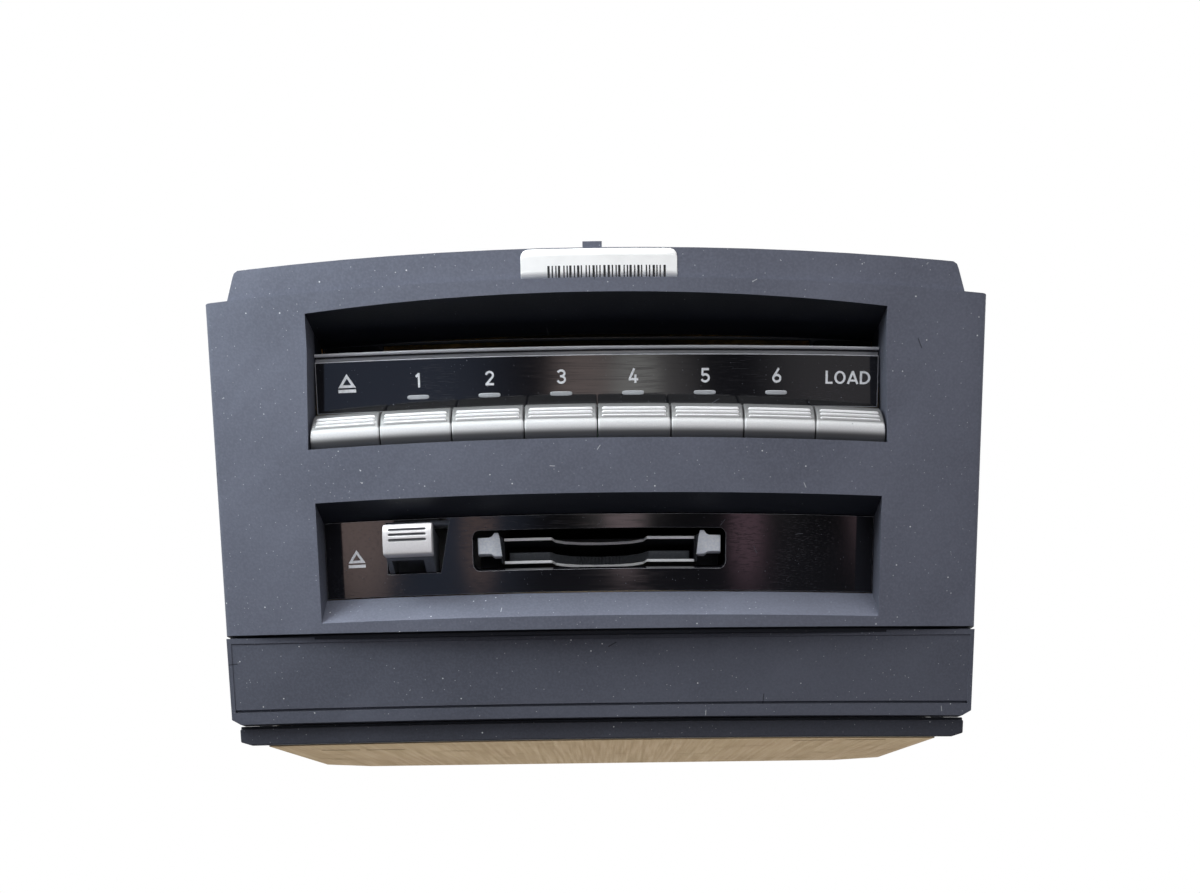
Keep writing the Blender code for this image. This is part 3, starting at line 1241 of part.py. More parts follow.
def disc_guide(look):
    """The plate that the disc slides over, with cheeks that carry the roller."""
    z = (GUIDE_Z, GUIDE_Z + SHEET)
    guide = block("disc_guide", (-GUIDE_HALF, GUIDE_HALF), (GUIDE_FRONT, GUIDE_REAR), z)
    reach = ROLLER_RADIUS + SINK
    through = (z[0] - OVERRUN, z[1] + OVERRUN)
    wide = ROLLER_HALF + SINK
    roller_hole = block("roller_hole", (-wide, wide), (ROLLER_Y - reach, ROLLER_Y + reach), through)
    table_hole = rod("table_hole", "z", (0.0, DISC_CENTRE_Y), TABLE_RADIUS + SINK, through)
    sled_way = (DISC_CENTRE_Y, SLED_Y + SLED_LENGTH + SLED_TRAVEL)
    sled_hole = block("sled_hole", (-SLED_HALF / 2, SLED_HALF / 2), sled_way, through)
    cut(guide, roller_hole, table_hole, sled_hole)
    cheek_y = (ROLLER_Y - ROLLER_RADIUS, ROLLER_Y + ROLLER_RADIUS)
    for side in (-1, 1):
        x = sorted((side * (ROLLER_HALF + SINK * 2), side * (ROLLER_HALF + SINK * 2 + GUIDE_CHEEK)))
        join(guide, block("cheek", x, cheek_y, (ROLLER_Z - ROLLER_RADIUS, z[0] + SHEET / 2)))
    bores = (-GUIDE_HALF - OVERRUN, GUIDE_HALF + OVERRUN)
    cut(guide, rod("bores", "x", (ROLLER_Y, ROLLER_Z), JOURNAL_RADIUS + GAP, bores, SMALL_SIDES))
    return finish(guide, look)


def gear_outline(teeth, centre, phase):
    """A toothed outline, with trapezoid teeth that leave room between flanks."""
    pitch_radius = GEAR_MODULE * teeth / 2
    tip = pitch_radius + GEAR_MODULE * ADDENDUM_share
    root = pitch_radius - GEAR_MODULE * DEDENDUM_share
    flanks = ((root, -TOOTH_share), (tip, -TOOTH_TIP_share), (tip, TOOTH_TIP_share), (root, TOOTH_share))
    points = []
    for tooth in range(teeth):
        for radius, share in flanks:
            angle = (tooth + share + phase) * 2 * math.pi / teeth
            points.append((centre[0] + radius * math.cos(angle), centre[1] + radius * math.sin(angle)))
    return points


def disc_feed(rubber, brass, metal):
    """The roller that draws the disc in, its gear, and the motor with its pinion."""
    place = (ROLLER_Y, ROLLER_Z)
    roller = rod("feed_roller", "x", place, ROLLER_RADIUS, (-ROLLER_HALF, ROLLER_HALF))
    gear_x = (GUIDE_HALF + SINK, GUIDE_HALF + SINK + GEAR_WIDTH)
    journals = (-GUIDE_HALF, gear_x[1] + SINK)
    join(roller, rod("journal", "x", place, JOURNAL_RADIUS, journals, SMALL_SIDES))
    gear = prism("roller_gear", "x", gear_outline(GEAR_TEETH, place, 0.0), gear_x)
    through = (gear_x[0] - OVERRUN, gear_x[1] + OVERRUN)
    cut(gear, rod("gear_bore", "x", place, JOURNAL_RADIUS + GAP / 2, through, SMALL_SIDES))
    spacing = GEAR_MODULE * (GEAR_TEETH + PINION_TEETH) / 2
    pinion_y = ROLLER_Y + spacing
    pinion = prism("motor_pinion", "x", gear_outline(PINION_TEETH, (pinion_y, ROLLER_Z), 0.5), gear_x)
    motor_x = (gear_x[1] + SINK, CHASSIS_HALF - SHEET - MOTOR_ROOM)
    motor = rod("loading_motor", "x", (pinion_y, ROLLER_Z), MOTOR_RADIUS, motor_x)
    foot_x = (motor_x[0] + SINK, motor_x[1] - SINK)
    foot_y = (pinion_y - MOTOR_RADIUS * 0.8, pinion_y + MOTOR_RADIUS * 0.8)
    join(motor, block("motor_foot", foot_x, foot_y, (DECK_Z + SHEET + GAP, ROLLER_Z)))
    for obj in (roller, gear):
        settle(obj)
        set_origin(obj, (0.0, ROLLER_Y, ROLLER_Z))
    set_origin(pinion, (gear_x[0], pinion_y, ROLLER_Z))
    return finish(roller, rubber), finish(gear, brass), finish(pinion, brass), finish(motor, metal)


def disc_drive(dark, metal, steel):
    """The turntable with its motor, and the sled that the lead screw drives along two rails."""
    centre = (0.0, DISC_CENTRE_Y)
    table_z = GUIDE_Z + SHEET
    table = rod("turntable", "z", centre, TABLE_RADIUS, (table_z - TABLE_THICK, table_z))
    hub_z = (table_z - SINK, table_z + TABLE_HUB_RISE)
    hub = rod("hub", "z", centre, TABLE_HUB_RADIUS, hub_z, ROUND_SIDES, TABLE_HUB_RADIUS * 0.85)
    spindle_z = (SPINDLE_MOTOR_TOP + GAP, table_z - TABLE_THICK / 2)
    join(table, hub, rod("spindle", "z", centre, SPINDLE_RADIUS, spindle_z, SMALL_SIDES))
    settle(table)
    set_origin(table, (0.0, DISC_CENTRE_Y, table_z))
    motor = rod("spindle_motor", "z", centre, SPINDLE_MOTOR_RADIUS, (DECK_Z + SHEET + GAP, SPINDLE_MOTOR_TOP))
    sled_y = (SLED_Y, SLED_Y + SLED_LENGTH)
    sled = block("laser_sled", (-SLED_HALF, SLED_HALF), sled_y, SLED_Z)
    lens_z = (SLED_Z[1] - SINK, SLED_Z[1] + LENS_RISE)
    join(sled, rod("lens", "z", (0.0, SLED_Y + SLED_LENGTH / 2), LENS_RADIUS, lens_z, SMALL_SIDES))
    bore_span = (sled_y[0] - OVERRUN, sled_y[1] + OVERRUN)
    for x, radius in ((-RAIL_X, RAIL_RADIUS), (RAIL_X, RAIL_RADIUS), (0.0, LEAD_RADIUS)):
        cut(sled, rod("rail_bore", "y", (x, RAIL_Z), radius + GAP, bore_span, SMALL_SIDES))
    settle(sled)
    set_origin(sled, (0.0, SLED_Y, RAIL_Z))
    rails = []
    for tag, x in (("left", -RAIL_X), ("right", RAIL_X)):
        rail = rod(f"guide_rail_{tag}", "y", (x, RAIL_Z), RAIL_RADIUS, RAIL_Y, SMALL_SIDES)
        for y in (RAIL_Y[0], RAIL_Y[1] - RAIL_RADIUS * 2):
            post = block(
                "post", (x - RAIL_RADIUS * 1.5, x + RAIL_RADIUS * 1.5), (y, y + RAIL_RADIUS * 2),
                (DECK_Z + SHEET + GAP, RAIL_Z),
            )
            join(rail, post)
        rails.append(finish(rail, steel))
    lead_y = (SLED_Y - RAIL_RADIUS * 2, RAIL_Y[1] - RAIL_RADIUS * 2)
    lead = rod("lead_screw", "y", (0.0, RAIL_Z), LEAD_RADIUS, lead_y, SMALL_SIDES)
    set_origin(lead, (0.0, lead_y[0], RAIL_Z))
    motor_y = (lead_y[1] + GAP, lead_y[1] + GAP + SLED_MOTOR_LENGTH)
    lead_motor = rod("sled_motor", "y", (0.0, RAIL_Z), SLED_Z[1] - RAIL_Z, motor_y, SMALL_SIDES)
    foot_y = (motor_y[0] + SINK, motor_y[1] - SINK)
    foot_z = (DECK_Z + SHEET + GAP, RAIL_Z)
    join(lead_motor, block("motor_foot", (-RAIL_RADIUS * 2, RAIL_RADIUS * 2), foot_y, foot_z))
    return [
        finish(table, dark), finish(motor, metal), finish(sled, dark), *rails, finish(lead, steel),
        finish(lead_motor, metal),
    ]


def main():
    """Clears the scene and builds every piece."""
    global PARTS, CUTTERS
    for obj in list(bpy.data.objects):
        bpy.data.objects.remove(obj)
    PARTS = collection("car_radio")
    CUTTERS = collection("cutters")
    matt = material("matt_slate_plastic", (0.055, 0.062, 0.075), 0.55)
    gloss = material("gloss_black_plastic", (0.008, 0.007, 0.008), 0.12)
    black = material("black_plastic", (0.015, 0.015, 0.017), 0.5)
    silver = material("satin_silver_plastic", (0.62, 0.62, 0.63), 0.32, 0.6)
    grey = material("grey_plastic", (0.33, 0.36, 0.39), 0.45)
    clear = material("smoked_clear_plastic", (0.20, 0.20, 0.20), 0.2)
    gold = material("passivated_steel", (0.56, 0.46, 0.28), 0.38, 0.8)
    steel = material("bright_steel", (0.6, 0.6, 0.6), 0.3, 1.0)
    alloy = material("cast_alloy", (0.5, 0.5, 0.52), 0.45, 0.9)
    green = material("circuit_board", (0.02, 0.12, 0.05), 0.45)
    rubber = material("rubber", (0.02, 0.02, 0.02), 0.8)
    brass = material("brass", (0.7, 0.52, 0.2), 0.35, 1.0)

    front_fascia(matt)
    legend_strip(gloss)
    light_guide(clear)
    disc_pocket(gloss)
    key_names = ["key_eject"] + [f"key_{number}" for number in range(1, KEY_COUNT - 1)] + ["key_load"]
    for index, name in enumerate(key_names):
        key_solid(index, silver, name)
    key_board(green)
    lower_plate(gloss)
    card_mouth(grey)
    eject_button(silver, black)
    lower_trim(matt)
    bottom_flange(matt)
    carrier_frame(matt)
    front_plate(gold)
    chassis_tray(gold)
    top_cover(gold)
    for side, tag in ((-1, "left"), (1, "right")):
        bracket(f"bracket_{tag}", side, gold)
        bracket_screws(side, tag, steel)
    heat_sink(alloy)
    fan(black, black)
    rear_sockets(black, steel)
    main_board(green)
    card_shelf(gold)
    card_cage(steel)
    card_ejector(steel)
    disc_magazine(black)
    mech_deck(steel)
    disc_guide(black)
    disc_feed(rubber, brass, steel)
    disc_drive(black, steel, steel)
    for obj in [*PARTS.objects, *CUTTERS.objects]:
        obj.location.y -= ORIGIN_BACK


main()
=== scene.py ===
import json
import math

import bmesh
import bpy
import numpy as np
from mathutils import Matrix, Vector


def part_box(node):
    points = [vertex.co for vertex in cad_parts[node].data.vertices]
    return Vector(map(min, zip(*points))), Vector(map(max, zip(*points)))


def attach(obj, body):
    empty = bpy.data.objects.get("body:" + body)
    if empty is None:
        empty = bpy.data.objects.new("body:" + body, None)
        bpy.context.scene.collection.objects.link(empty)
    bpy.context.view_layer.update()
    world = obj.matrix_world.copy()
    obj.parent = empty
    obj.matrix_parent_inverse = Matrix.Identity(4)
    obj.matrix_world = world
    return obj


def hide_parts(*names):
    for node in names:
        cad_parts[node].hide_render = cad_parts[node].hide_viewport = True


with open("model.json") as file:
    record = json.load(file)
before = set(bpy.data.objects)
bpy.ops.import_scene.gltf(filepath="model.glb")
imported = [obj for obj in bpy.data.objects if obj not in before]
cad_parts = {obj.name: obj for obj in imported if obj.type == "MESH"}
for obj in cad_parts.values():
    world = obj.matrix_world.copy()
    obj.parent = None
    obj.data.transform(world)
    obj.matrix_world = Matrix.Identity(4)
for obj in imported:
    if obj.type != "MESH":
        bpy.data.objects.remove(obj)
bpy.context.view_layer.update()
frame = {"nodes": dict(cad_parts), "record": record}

bl_info = {
    "name": "Car radio surfaces",
    "version": (1, 0, 0),
    "blender": (4, 5, 0),
    "location": "View3D > Sidebar > Radio",
    "description": "Gives the car radio's solids their finished surfaces, materials, light and camera",
    "category": "Object",
}

# The face that the front pieces lie on: it comes forward as it rises and is bowed across. Metres.
FACE_START = -0.0170
LEAN = 0.52057  # forward for each unit of height
BOW = 0.73  # twice the bow's radius
LEAN_ANGLE = math.atan(LEAN)

# How each family of pieces follows the bow: its share, and the place across where it meets the full bow.
FULL = (1.0, 0.0)
HALF = (0.5, 0.080)
TRIM = (0.65, 0.109)

STRIP_DEPTH = 0.0100  # behind the face, as every depth
PLATE_DEPTH = 0.0115
PANEL_WALL = 0.0020
OPENING_HALF = 0.0797
KEY_PITCH = 0.0202
SKIN = 0.00004  # how far print stands off the face that it is on
MERGE = 2e-6  # points nearer than this are one
SHARP = 35  # degrees: an edge that turns by more is rounded, or shaded as an edge
DOMED, ROLLED = 50, 60  # degrees: the same for shading low domes and the buttons' rolled fronts
FINE_EDGE = 0.0002


# --- Shapes -------------------------------------------------------------------------------------


def lay(flat, bowed=FULL):
    """Flat points (across, depth, height) laid on the face: the depth moves forward in proportion to the
    height, and back with the square of the distance across, as far as the piece's share of the bow
    says."""
    flat = np.asarray(flat, float)
    share, pin = bowed
    x, depth, z = flat[..., 0], flat[..., 1], flat[..., 2]
    back = (share * x ** 2 + (1 - share) * pin ** 2) / BOW
    return np.stack([x, FACE_START - LEAN * z + back + depth, z], axis=-1)


def flat_points(across, depth, height):
    """Flat points from their places across, depths and heights, each of them an array or one number."""
    return np.stack(np.broadcast_arrays(across, depth, height), axis=-1)


def cuts(stops, step):
    """Positions along an axis: each stop is kept, and the way between two is cut into even steps."""
    parts = [
        np.linspace(a, b, max(1, math.ceil(abs(b - a) / step - 1e-6)), endpoint=False)
        for a, b in zip(stops, stops[1:])
    ]
    return np.append(np.concatenate(parts), stops[-1])


def patchwork(name, grids, lids=(), marks=None):
    """One mesh from grids of points. Four neighbours in a grid make a face, a mask leaves faces out,
    points that meet are joined, and a lid closes a ring of points with one face. Marks, one to a point of
    the grids, become the mesh's attribute of that name."""
    points, faces, count = [], [], 0
    for grid, keep in grids:
        index = np.arange(grid.shape[0] * grid.shape[1]).reshape(grid.shape[:2]) + count
        quads = np.stack([index[:-1, :-1], index[:-1, 1:], index[1:, 1:], index[1:, :-1]], axis=-1)
        faces += (quads.reshape(-1, 4) if keep is None else quads[keep]).tolist()
        points.append(grid.reshape(-1, 3))
        count += grid.shape[0] * grid.shape[1]
    for lid in lids:
        faces.append(list(range(count, count + len(lid))))
        points.append(lid)
        count += len(lid)
    points = np.concatenate(points)
    _, first, same = np.unique(np.round(points / MERGE), axis=0, return_index=True, return_inverse=True)
    same = same.reshape(-1)
    faces = [list(dict.fromkeys(same[face].tolist())) for face in faces]
    mesh = bpy.data.meshes.new(name)
    mesh.from_pydata(points[first].tolist(), [], [face for face in faces if len(face) > 2])
    mesh.update()
    if marks is not None:
        every = np.zeros(len(points))
        every[:marks.size] = marks.reshape(-1)
        mesh.attributes.new("mark", "FLOAT", "POINT").data.foreach_set("value", every[first])
    obj = bpy.data.objects.new(name, mesh)
    bpy.context.scene.collection.objects.link(obj)
    return obj


def ring(grid, columns, rows):
    """The points round a rectangle of a grid: along the bottom, up the right, back and down, closed."""
    (left, right), (low, high) = columns, rows
    sides = [
        grid[low, left:right],
        grid[low:high, right],
        grid[high, right:left:-1],
        grid[high:low:-1, left],
        grid[low:low + 1, left],
    ]
    return np.concatenate(sides)


def loft(name, loops, bowed=FULL, marks=None):
    """A closed form through rings of flat points: each ring joins the next, and the ends get lids."""
    loops = np.asarray(loops, float)
    loops = lay(loops, bowed) if bowed else loops
    around = np.concatenate([loops, loops[:, :1]], axis=1)
    if marks is not None:
        marks = np.concatenate([marks, marks[:, :1]], axis=1)
    return patchwork(name, [(around, None)], [loops[0][::-1], loops[-1]], marks)


def profile_loops(across, corners):
    """Rings for a loft that runs across: a profile's corners, as (depth, height), at each place. A height
    is one number, or one for each place."""
    return np.stack([flat_points(across, depth, height) for depth, height in corners], axis=1)[::-1]


def smooth_line(points, count):
    """A curve through points: each stretch is the cubic that leaves and meets it along its neighbours."""
    p = np.asarray(points, float)
    p = np.concatenate([2 * p[:1] - p[1:2], p, 2 * p[-1:] - p[-2:-1]])
    place = np.linspace(0, len(p) - 3 - 1e-9, count)
    i = place.astype(int)
    t = (place - i)[:, None]
    a, b, c, d = p[i], p[i + 1], p[i + 2], p[i + 3]
    return b + 0.5 * t * (c - a + t * (2 * a - 5 * b + 4 * c - d + t * (3 * (b - c) + d - a)))


def ease(t):
    """From 0 to 1 with no corner at either end: three times the square less twice the cube."""
    t = np.clip(t, 0, 1)
    return t * t * (3 - 2 * t)


def rounded_bar(count, power_x, power_z):
    """Points round a bar with rounded ends, of half size 1 both ways: the circle's cosine and sine, each
    raised to a power below one with its sign kept."""
    around = np.linspace(0, 2 * np.pi, count, endpoint=False)
    cos, sin = np.cos(around), np.sin(around)
    return np.sign(cos) * np.abs(cos) ** power_x, np.sign(sin) * np.abs(sin) ** power_z


def round_corner(x, z, corner, inward, radius, reach):
    """Lattice points near a hole's corner, moved so that its square corner becomes an arc. A point on the
    square is taken to the circle by the square-to-disc formula, and the move fades out over reach."""
    p, q = (x - corner[0]) * inward[0], (z - corner[1]) * inward[1]
    a, b = np.clip(radius - p, 0, radius), np.clip(radius - q, 0, radius)
    move_a = a * np.sqrt(1 - b ** 2 / (2 * radius ** 2)) - a
    move_b = b * np.sqrt(1 - a ** 2 / (2 * radius ** 2)) - b
    fade = 1 - ease(np.maximum(np.maximum(-p, -q), 0) / reach)
    return x - move_a * fade * inward[0], z - move_b * fade * inward[1]


def plate(name, xs, zs, depth, holes=(), bowed=FULL, shape=None):
    """The front surface of a plate: a lattice of lines across and up, without the faces in its holes, its
    points moved by shape where one is given, and laid on the face."""
    x, z = np.meshgrid(xs, zs)
    middle_x, middle_z = np.meshgrid((xs[1:] + xs[:-1]) / 2, (zs[1:] + zs[:-1]) / 2)
    keep = np.ones(middle_x.shape, bool)
    for left, right, low, high in holes:
        inside = (middle_x > left) & (middle_x < right) & (middle_z > low) & (middle_z < high)
        keep &= ~inside
    if shape:
        x, z = shape(x, z)
    return patchwork(name, [(lay(flat_points(x, depth, z), bowed), keep)])


def thicken(obj, wall, edge=0.0, rim=-1):
    """Gives a surface a wall behind it, and rounds its edges, in another finish where rim names one: a
    lighter finish that paints a highlight along them.
    """
    solid = obj.modifiers.new("wall", "SOLIDIFY")
    solid.thickness = wall
    solid.offset = -1
    if edge:
        round_edges(obj, edge, rim)


def round_edges(obj, width, rim=-1):
    """Rounds the sharp edges, in another finish where rim names one: a lighter finish that paints a
    highlight along them.
    """
    bevel = obj.modifiers.new("edge", "BEVEL")
    bevel.width = width
    bevel.segments = 2
    bevel.limit_method = "ANGLE"
    bevel.angle_limit = math.radians(SHARP)
    bevel.harden_normals = True
    bevel.material = rim


def shade(obj, angle):
    """Smooth shading, but for edges that turn by more than an angle."""
    obj.data.shade_smooth()
    obj.data.set_sharp_from_angle(angle=math.radians(angle))


def place(obj, body, slot, look, nodes=(), angle=SHARP):
    """Finishes a piece: its shading, material, body, and the nodes that it stands for. The slot is not
    used.
    """
    shade(obj, angle)
    for material in look if isinstance(look, (list, tuple)) else [look]:
        obj.data.materials.append(material)
    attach(obj, body)
    if nodes:
        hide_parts(*nodes)
    return obj


def copy_node(node, body, slot, look, edge=0.0003):
    """A node's own shape with rounded edges: a copy is merged, its flat faces are made whole, and its
    edges are rounded."""
    form = bmesh.new()
    form.from_mesh(frame["nodes"][node].data)
    bmesh.ops.remove_doubles(form, verts=form.verts, dist=1e-6)
    bmesh.ops.dissolve_limit(form, angle_limit=math.radians(0.6), verts=form.verts, edges=form.edges)
    mesh = bpy.data.meshes.new(node + "_finished")
    form.to_mesh(mesh)
    form.free()
    obj = bpy.data.objects.new(node + "_finished", mesh)
    bpy.context.scene.collection.objects.link(obj)
    place(obj, body, slot, look, [node])
    round_edges(obj, edge)
    return obj


# --- Materials ----------------------------------------------------------------------------------


class Flow:
    """A socket in a node tree. A sum on it adds a Math node."""

    def __init__(self, paint, socket):
        self.paint, self.socket = paint, socket

    def __add__(self, other):
        return self.paint.maths("ADD", self, other)

    __radd__ = __add__

    def __sub__(self, other):
        return self.paint.maths("SUBTRACT", self, other)

    def __rsub__(self, other):
        return self.paint.maths("SUBTRACT", other, self)

    def __mul__(self, other):
        return self.paint.maths("MULTIPLY", self, other)

    __rmul__ = __mul__

    def __lt__(self, other):
        return self.paint.maths("LESS_THAN", self, other)

    def __abs__(self):
        return self.paint.maths("ABSOLUTE", self)

    def clear(self):
        """The same value, held between 0 and 1."""
        return self.paint.maths("ADD", self, 0.0, clamp=True)


class Palette:
    """A node tree that is built up node by node."""

    def __init__(self, tree):
        self.tree = tree
        self.tree.nodes.clear()

    def node(self, kind, settings=None, sockets=None, output=0):
        """Adds a node: its settings first, then the values or links of its sockets."""
        node = self.tree.nodes.new(kind)
        for key, value in (settings or {}).items():
            setattr(node, key, value)
        for key, value in (sockets or {}).items():
            if isinstance(value, Flow):
                self.tree.links.new(value.socket, node.inputs[key])
            else:
                node.inputs[key].default_value = value
        return Flow(self, node.outputs[output]) if node.outputs else None

    def maths(self, operation, *values, clamp=False):
        """One sum on values or sockets."""
        settings = {"operation": operation, "use_clamp": clamp}
        return self.node("ShaderNodeMath", settings, dict(enumerate(values)))

    def ramp(self, value, low, high, start=0.0, end=1.0):
        """Value from low to high becomes start to end, eased and held beyond."""
        sockets = {"Value": value, "From Min": low, "From Max": high, "To Min": start, "To Max": end}
        return self.node("ShaderNodeMapRange", {"interpolation_type": "SMOOTHSTEP"}, sockets)

    def mix(self, factor, first, second):
        """The first colour where the factor is 0, and the second where it is 1."""
        settings = {"data_type": "RGBA", "blend_type": "MIX", "clamp_factor": True}
        return self.node("ShaderNodeMix", settings, {"Factor": factor, 6: first, 7: second}, 2)


class Paint(Palette):
    """A procedural material, built up from nodes."""

    def __init__(self, name):
        self.material = bpy.data.materials.new(name)
        self.material.use_nodes = True
        super().__init__(self.material.node_tree)
        self.where = self.node("ShaderNodeTexCoord", output="Object")

    def turned(self, scale, turn=(0, 0, 0)):
        """The piece's own coordinates, turned, then drawn out or packed closer along each axis."""
        straight = self.node("ShaderNodeMapping", None, {"Vector": self.where, "Rotation": turn})
        return self.node("ShaderNodeMapping", None, {"Vector": straight, "Scale": scale})

    def noise(self, scale, detail=2.0, rough=0.5, where=None):
        """Cloudy noise, in the piece's own coordinates where no others are given."""
        sockets = {"Vector": where or self.where, "Scale": scale, "Detail": detail, "Roughness": rough}
        return self.node("ShaderNodeTexNoise", None, sockets, "Fac")

    def specks(self, scale, size, share):
        """Small dots: near the middles of random cells, in only some of the cells."""
        cells = {"Vector": self.where, "Scale": scale}
        near = self.node("ShaderNodeTexVoronoi", None, cells, "Distance")
        colour = self.node("ShaderNodeTexVoronoi", None, cells, "Color")
        chance = self.node("ShaderNodeSeparateColor", None, {"Color": colour}, "Red")
        return self.ramp(near, size, size * 0.4) * (chance < share)

    def lint(self, scale, long, thin, share, level=False):
        """Short lines, one to a random cell and turned at random: where the distance from the cell's point
        is small across the line's own way and not too far along it. They lie in the face, or level."""
        flat = self.turned((scale, scale, scale), (0 if level else -math.pi / 2, 0, 0))
        cell = {"Vector": flat, "Scale": 1.0}
        plane = {"voronoi_dimensions": "2D"}
        point = self.node("ShaderNodeTexVoronoi", plane, cell, "Position")
        colour = self.node("ShaderNodeTexVoronoi", plane, cell, "Color")
        away = self.node("ShaderNodeVectorMath", {"operation": "SUBTRACT"}, {0: flat, 1: point})
        x = self.node("ShaderNodeSeparateXYZ", None, {0: away}, "X")
        y = self.node("ShaderNodeSeparateXYZ", None, {0: away}, "Y")
        chance = self.node("ShaderNodeSeparateColor", None, {"Color": colour}, "Red")
        angle = self.node("ShaderNodeSeparateColor", None, {"Color": colour}, "Green") * math.pi
        cos, sin = self.maths("COSINE", angle), self.maths("SINE", angle)
        along, across = x * cos + y * sin, y * cos - x * sin + (x * x + y * y) * 0.6
        line = self.ramp(abs(across), thin, thin * 0.4) * self.ramp(abs(along), long, long * 0.7)
        return line * (chance < share)

    def lines(self, fine, long, low, high):
        """Long fine lines across the piece: a noise drawn out along it."""
        drawn_out = self.turned((long, fine, fine), (-LEAN_ANGLE, 0, 0))
        return self.ramp(self.noise(1.0, 2.0, 0.5, drawn_out), low, high)

    def bump(self, height, distance, strength):
        """Small relief: the distance is how far the height's 1 stands above its 0."""
        sockets = {"Height": height, "Distance": distance, "Strength": strength}
        return self.node("ShaderNodeBump", None, sockets, "Normal")

    def surface(self, **sockets):
        """The finished surface. Underscores in a socket's name stand for spaces."""
        named = {key.replace("_", " "): value for key, value in sockets.items()}
        shader = self.node("ShaderNodeBsdfPrincipled", None, named)
        self.node("ShaderNodeOutputMaterial", None, {"Surface": shader})
        return self.material


def rgba(colour):
    """A colour with full cover."""
    return (*colour[:3], 1.0)


def tinted(colour, share):
    """A colour made darker or lighter by a share."""
    return tuple(min(1.0, channel * share) for channel in colour[:3]) + (1.0,)


MADE = {}


def look(name):
    """The material of that name, made when it is first asked for."""
    if name not in MADE:
        MADE[name] = LOOKS[name](name)
    return MADE[name]


def colours():
    """The colours that the user has set."""
    return bpy.context.scene.radio_colours


def moulding(name, colour, dust=1.0, rough=0.55):
    """Fine-grained moulding: broad clouds in its tone, a grain in tone and bump, dust, and scratches."""
    paint = Paint(name)
    cloud = paint.noise(18, 4.0, 0.6)
    grain = paint.noise(1500, 1.0, 0.5)
    coarse = paint.noise(900, 1.0, 0.5)
    dots = paint.specks(170, 0.050, 0.30) + paint.specks(330, 0.085, 0.26)
    dots = dots + paint.specks(900, 0.16, 0.2) * 0.5
    threads = paint.lint(70, 0.06, 0.008, 0.12) * 0.6
    scratch = paint.lint(45, 0.07, 0.010, 0.16)
    wiped = paint.ramp(paint.noise(1.0, 3.0, 0.6, paint.turned((14, 9, 40), (0, 0.7, 0))), 0.48, 0.72)
    tone = paint.mix(paint.ramp(cloud, 0.3, 0.7), tinted(colour, 0.90), tinted(colour, 1.08))
    tone = paint.mix(paint.ramp(grain, 0.35, 0.70) * 0.35, tone, tinted(colour, 1.4))
    tone = paint.mix(paint.ramp(coarse, 0.5, 0.3) * 0.12, tone, tinted(colour, 0.7))
    tone = paint.mix(wiped * 0.16, tone, tinted(colour, 1.8))
    tone = paint.mix(scratch * 0.8, tone, tinted(colour, 0.25))
    marks = ((dots + threads) * dust).clear()
    tone = paint.mix(marks * 0.9, tone, (0.80, 0.82, 0.84, 1))
    roughness = paint.ramp(cloud, 0.25, 0.75, rough - 0.06, rough + 0.08) + marks * 0.2 + wiped * 0.05
    normal = paint.bump(grain * 0.8 + coarse * 0.7 - scratch * 0.8, 0.00005, 0.6)
    return paint.surface(
        Base_Color=tone, Roughness=roughness.clear(), Normal=normal, Specular_IOR_Level=0.4
    )


def gloss(name, colour, rough=0.07, marked=0.9):
    """Polished plastic: fine wiping lines along its length, specks, short hairs, and a soft haze."""
    paint = Paint(name)
    wipe = paint.lines(5200, 14, 0.52, 0.72)
    wide = paint.ramp(paint.noise(30, 3.0), 0.42, 0.62)
    haze = paint.ramp(paint.noise(16, 3.0, 0.6), 0.4, 0.75)
    dots = paint.specks(190, 0.040, 0.30) + paint.specks(420, 0.09, 0.14) * 0.8
    dots = dots + paint.specks(1200, 0.17, 0.14) * 0.6
    hairs = paint.lint(90, 0.12, 0.010, 0.22) * 0.5
    marks = (wipe * wide * 0.10 + dots + hairs).clear()
    tone = paint.mix(haze * 0.5, rgba(colour), tinted(colour, 1.8))
    tone = paint.mix(marks * marked, tone, (0.16, 0.17, 0.20, 1))
    roughness = (haze * 0.05 + wipe * 0.05 + rough + marks * 0.3).clear()
    normal = paint.bump(wipe + paint.noise(120, 2.0) * 0.5, 0.000004, 0.5)
    return paint.surface(Base_Color=tone, Roughness=roughness, Normal=normal, Specular_IOR_Level=0.5)


def silver(name, colour, marked=(0.78, 0.78, 0.80, 1), metal=0.2):
    """Silver lacquer on plastic: a fine sparkle, a few dark specks, and tones from the mesh's marks. Above
    0 it takes the marked tone: the keys' ribs, or the cap's grooves, dark with painted shade. Below 0 it is
    darker: over the ground about the keys' ribs, and over the keys' foot, a painted shade where the roll
    faces down."""
    paint = Paint(name)
    flake = paint.noise(3600, 2.0, 0.7)
    cloud = paint.noise(60, 3.0)
    dots = paint.specks(240, 0.05, 0.14)
    mark = paint.node("ShaderNodeAttribute", {"attribute_name": "mark"}, None, "Fac")
    tone = paint.mix(paint.ramp(flake, 0.3, 0.7), tinted(colour, 0.95), tinted(colour, 1.05))
    tone = paint.mix(paint.ramp(mark, 0.0, -1.0), tone, tinted(colour, 0.14))
    tone = paint.mix(paint.ramp(mark, 0.0, 0.6), tone, marked)
    tone = paint.mix(dots * 0.8, tone, (0.10, 0.10, 0.11, 1))
    roughness = paint.ramp(cloud, 0.3, 0.7, 0.38, 0.44) + dots * 0.2
    normal = paint.bump(flake, 0.000002, 0.3)
    return paint.surface(Base_Color=tone, Roughness=roughness, Metallic=metal, Normal=normal)


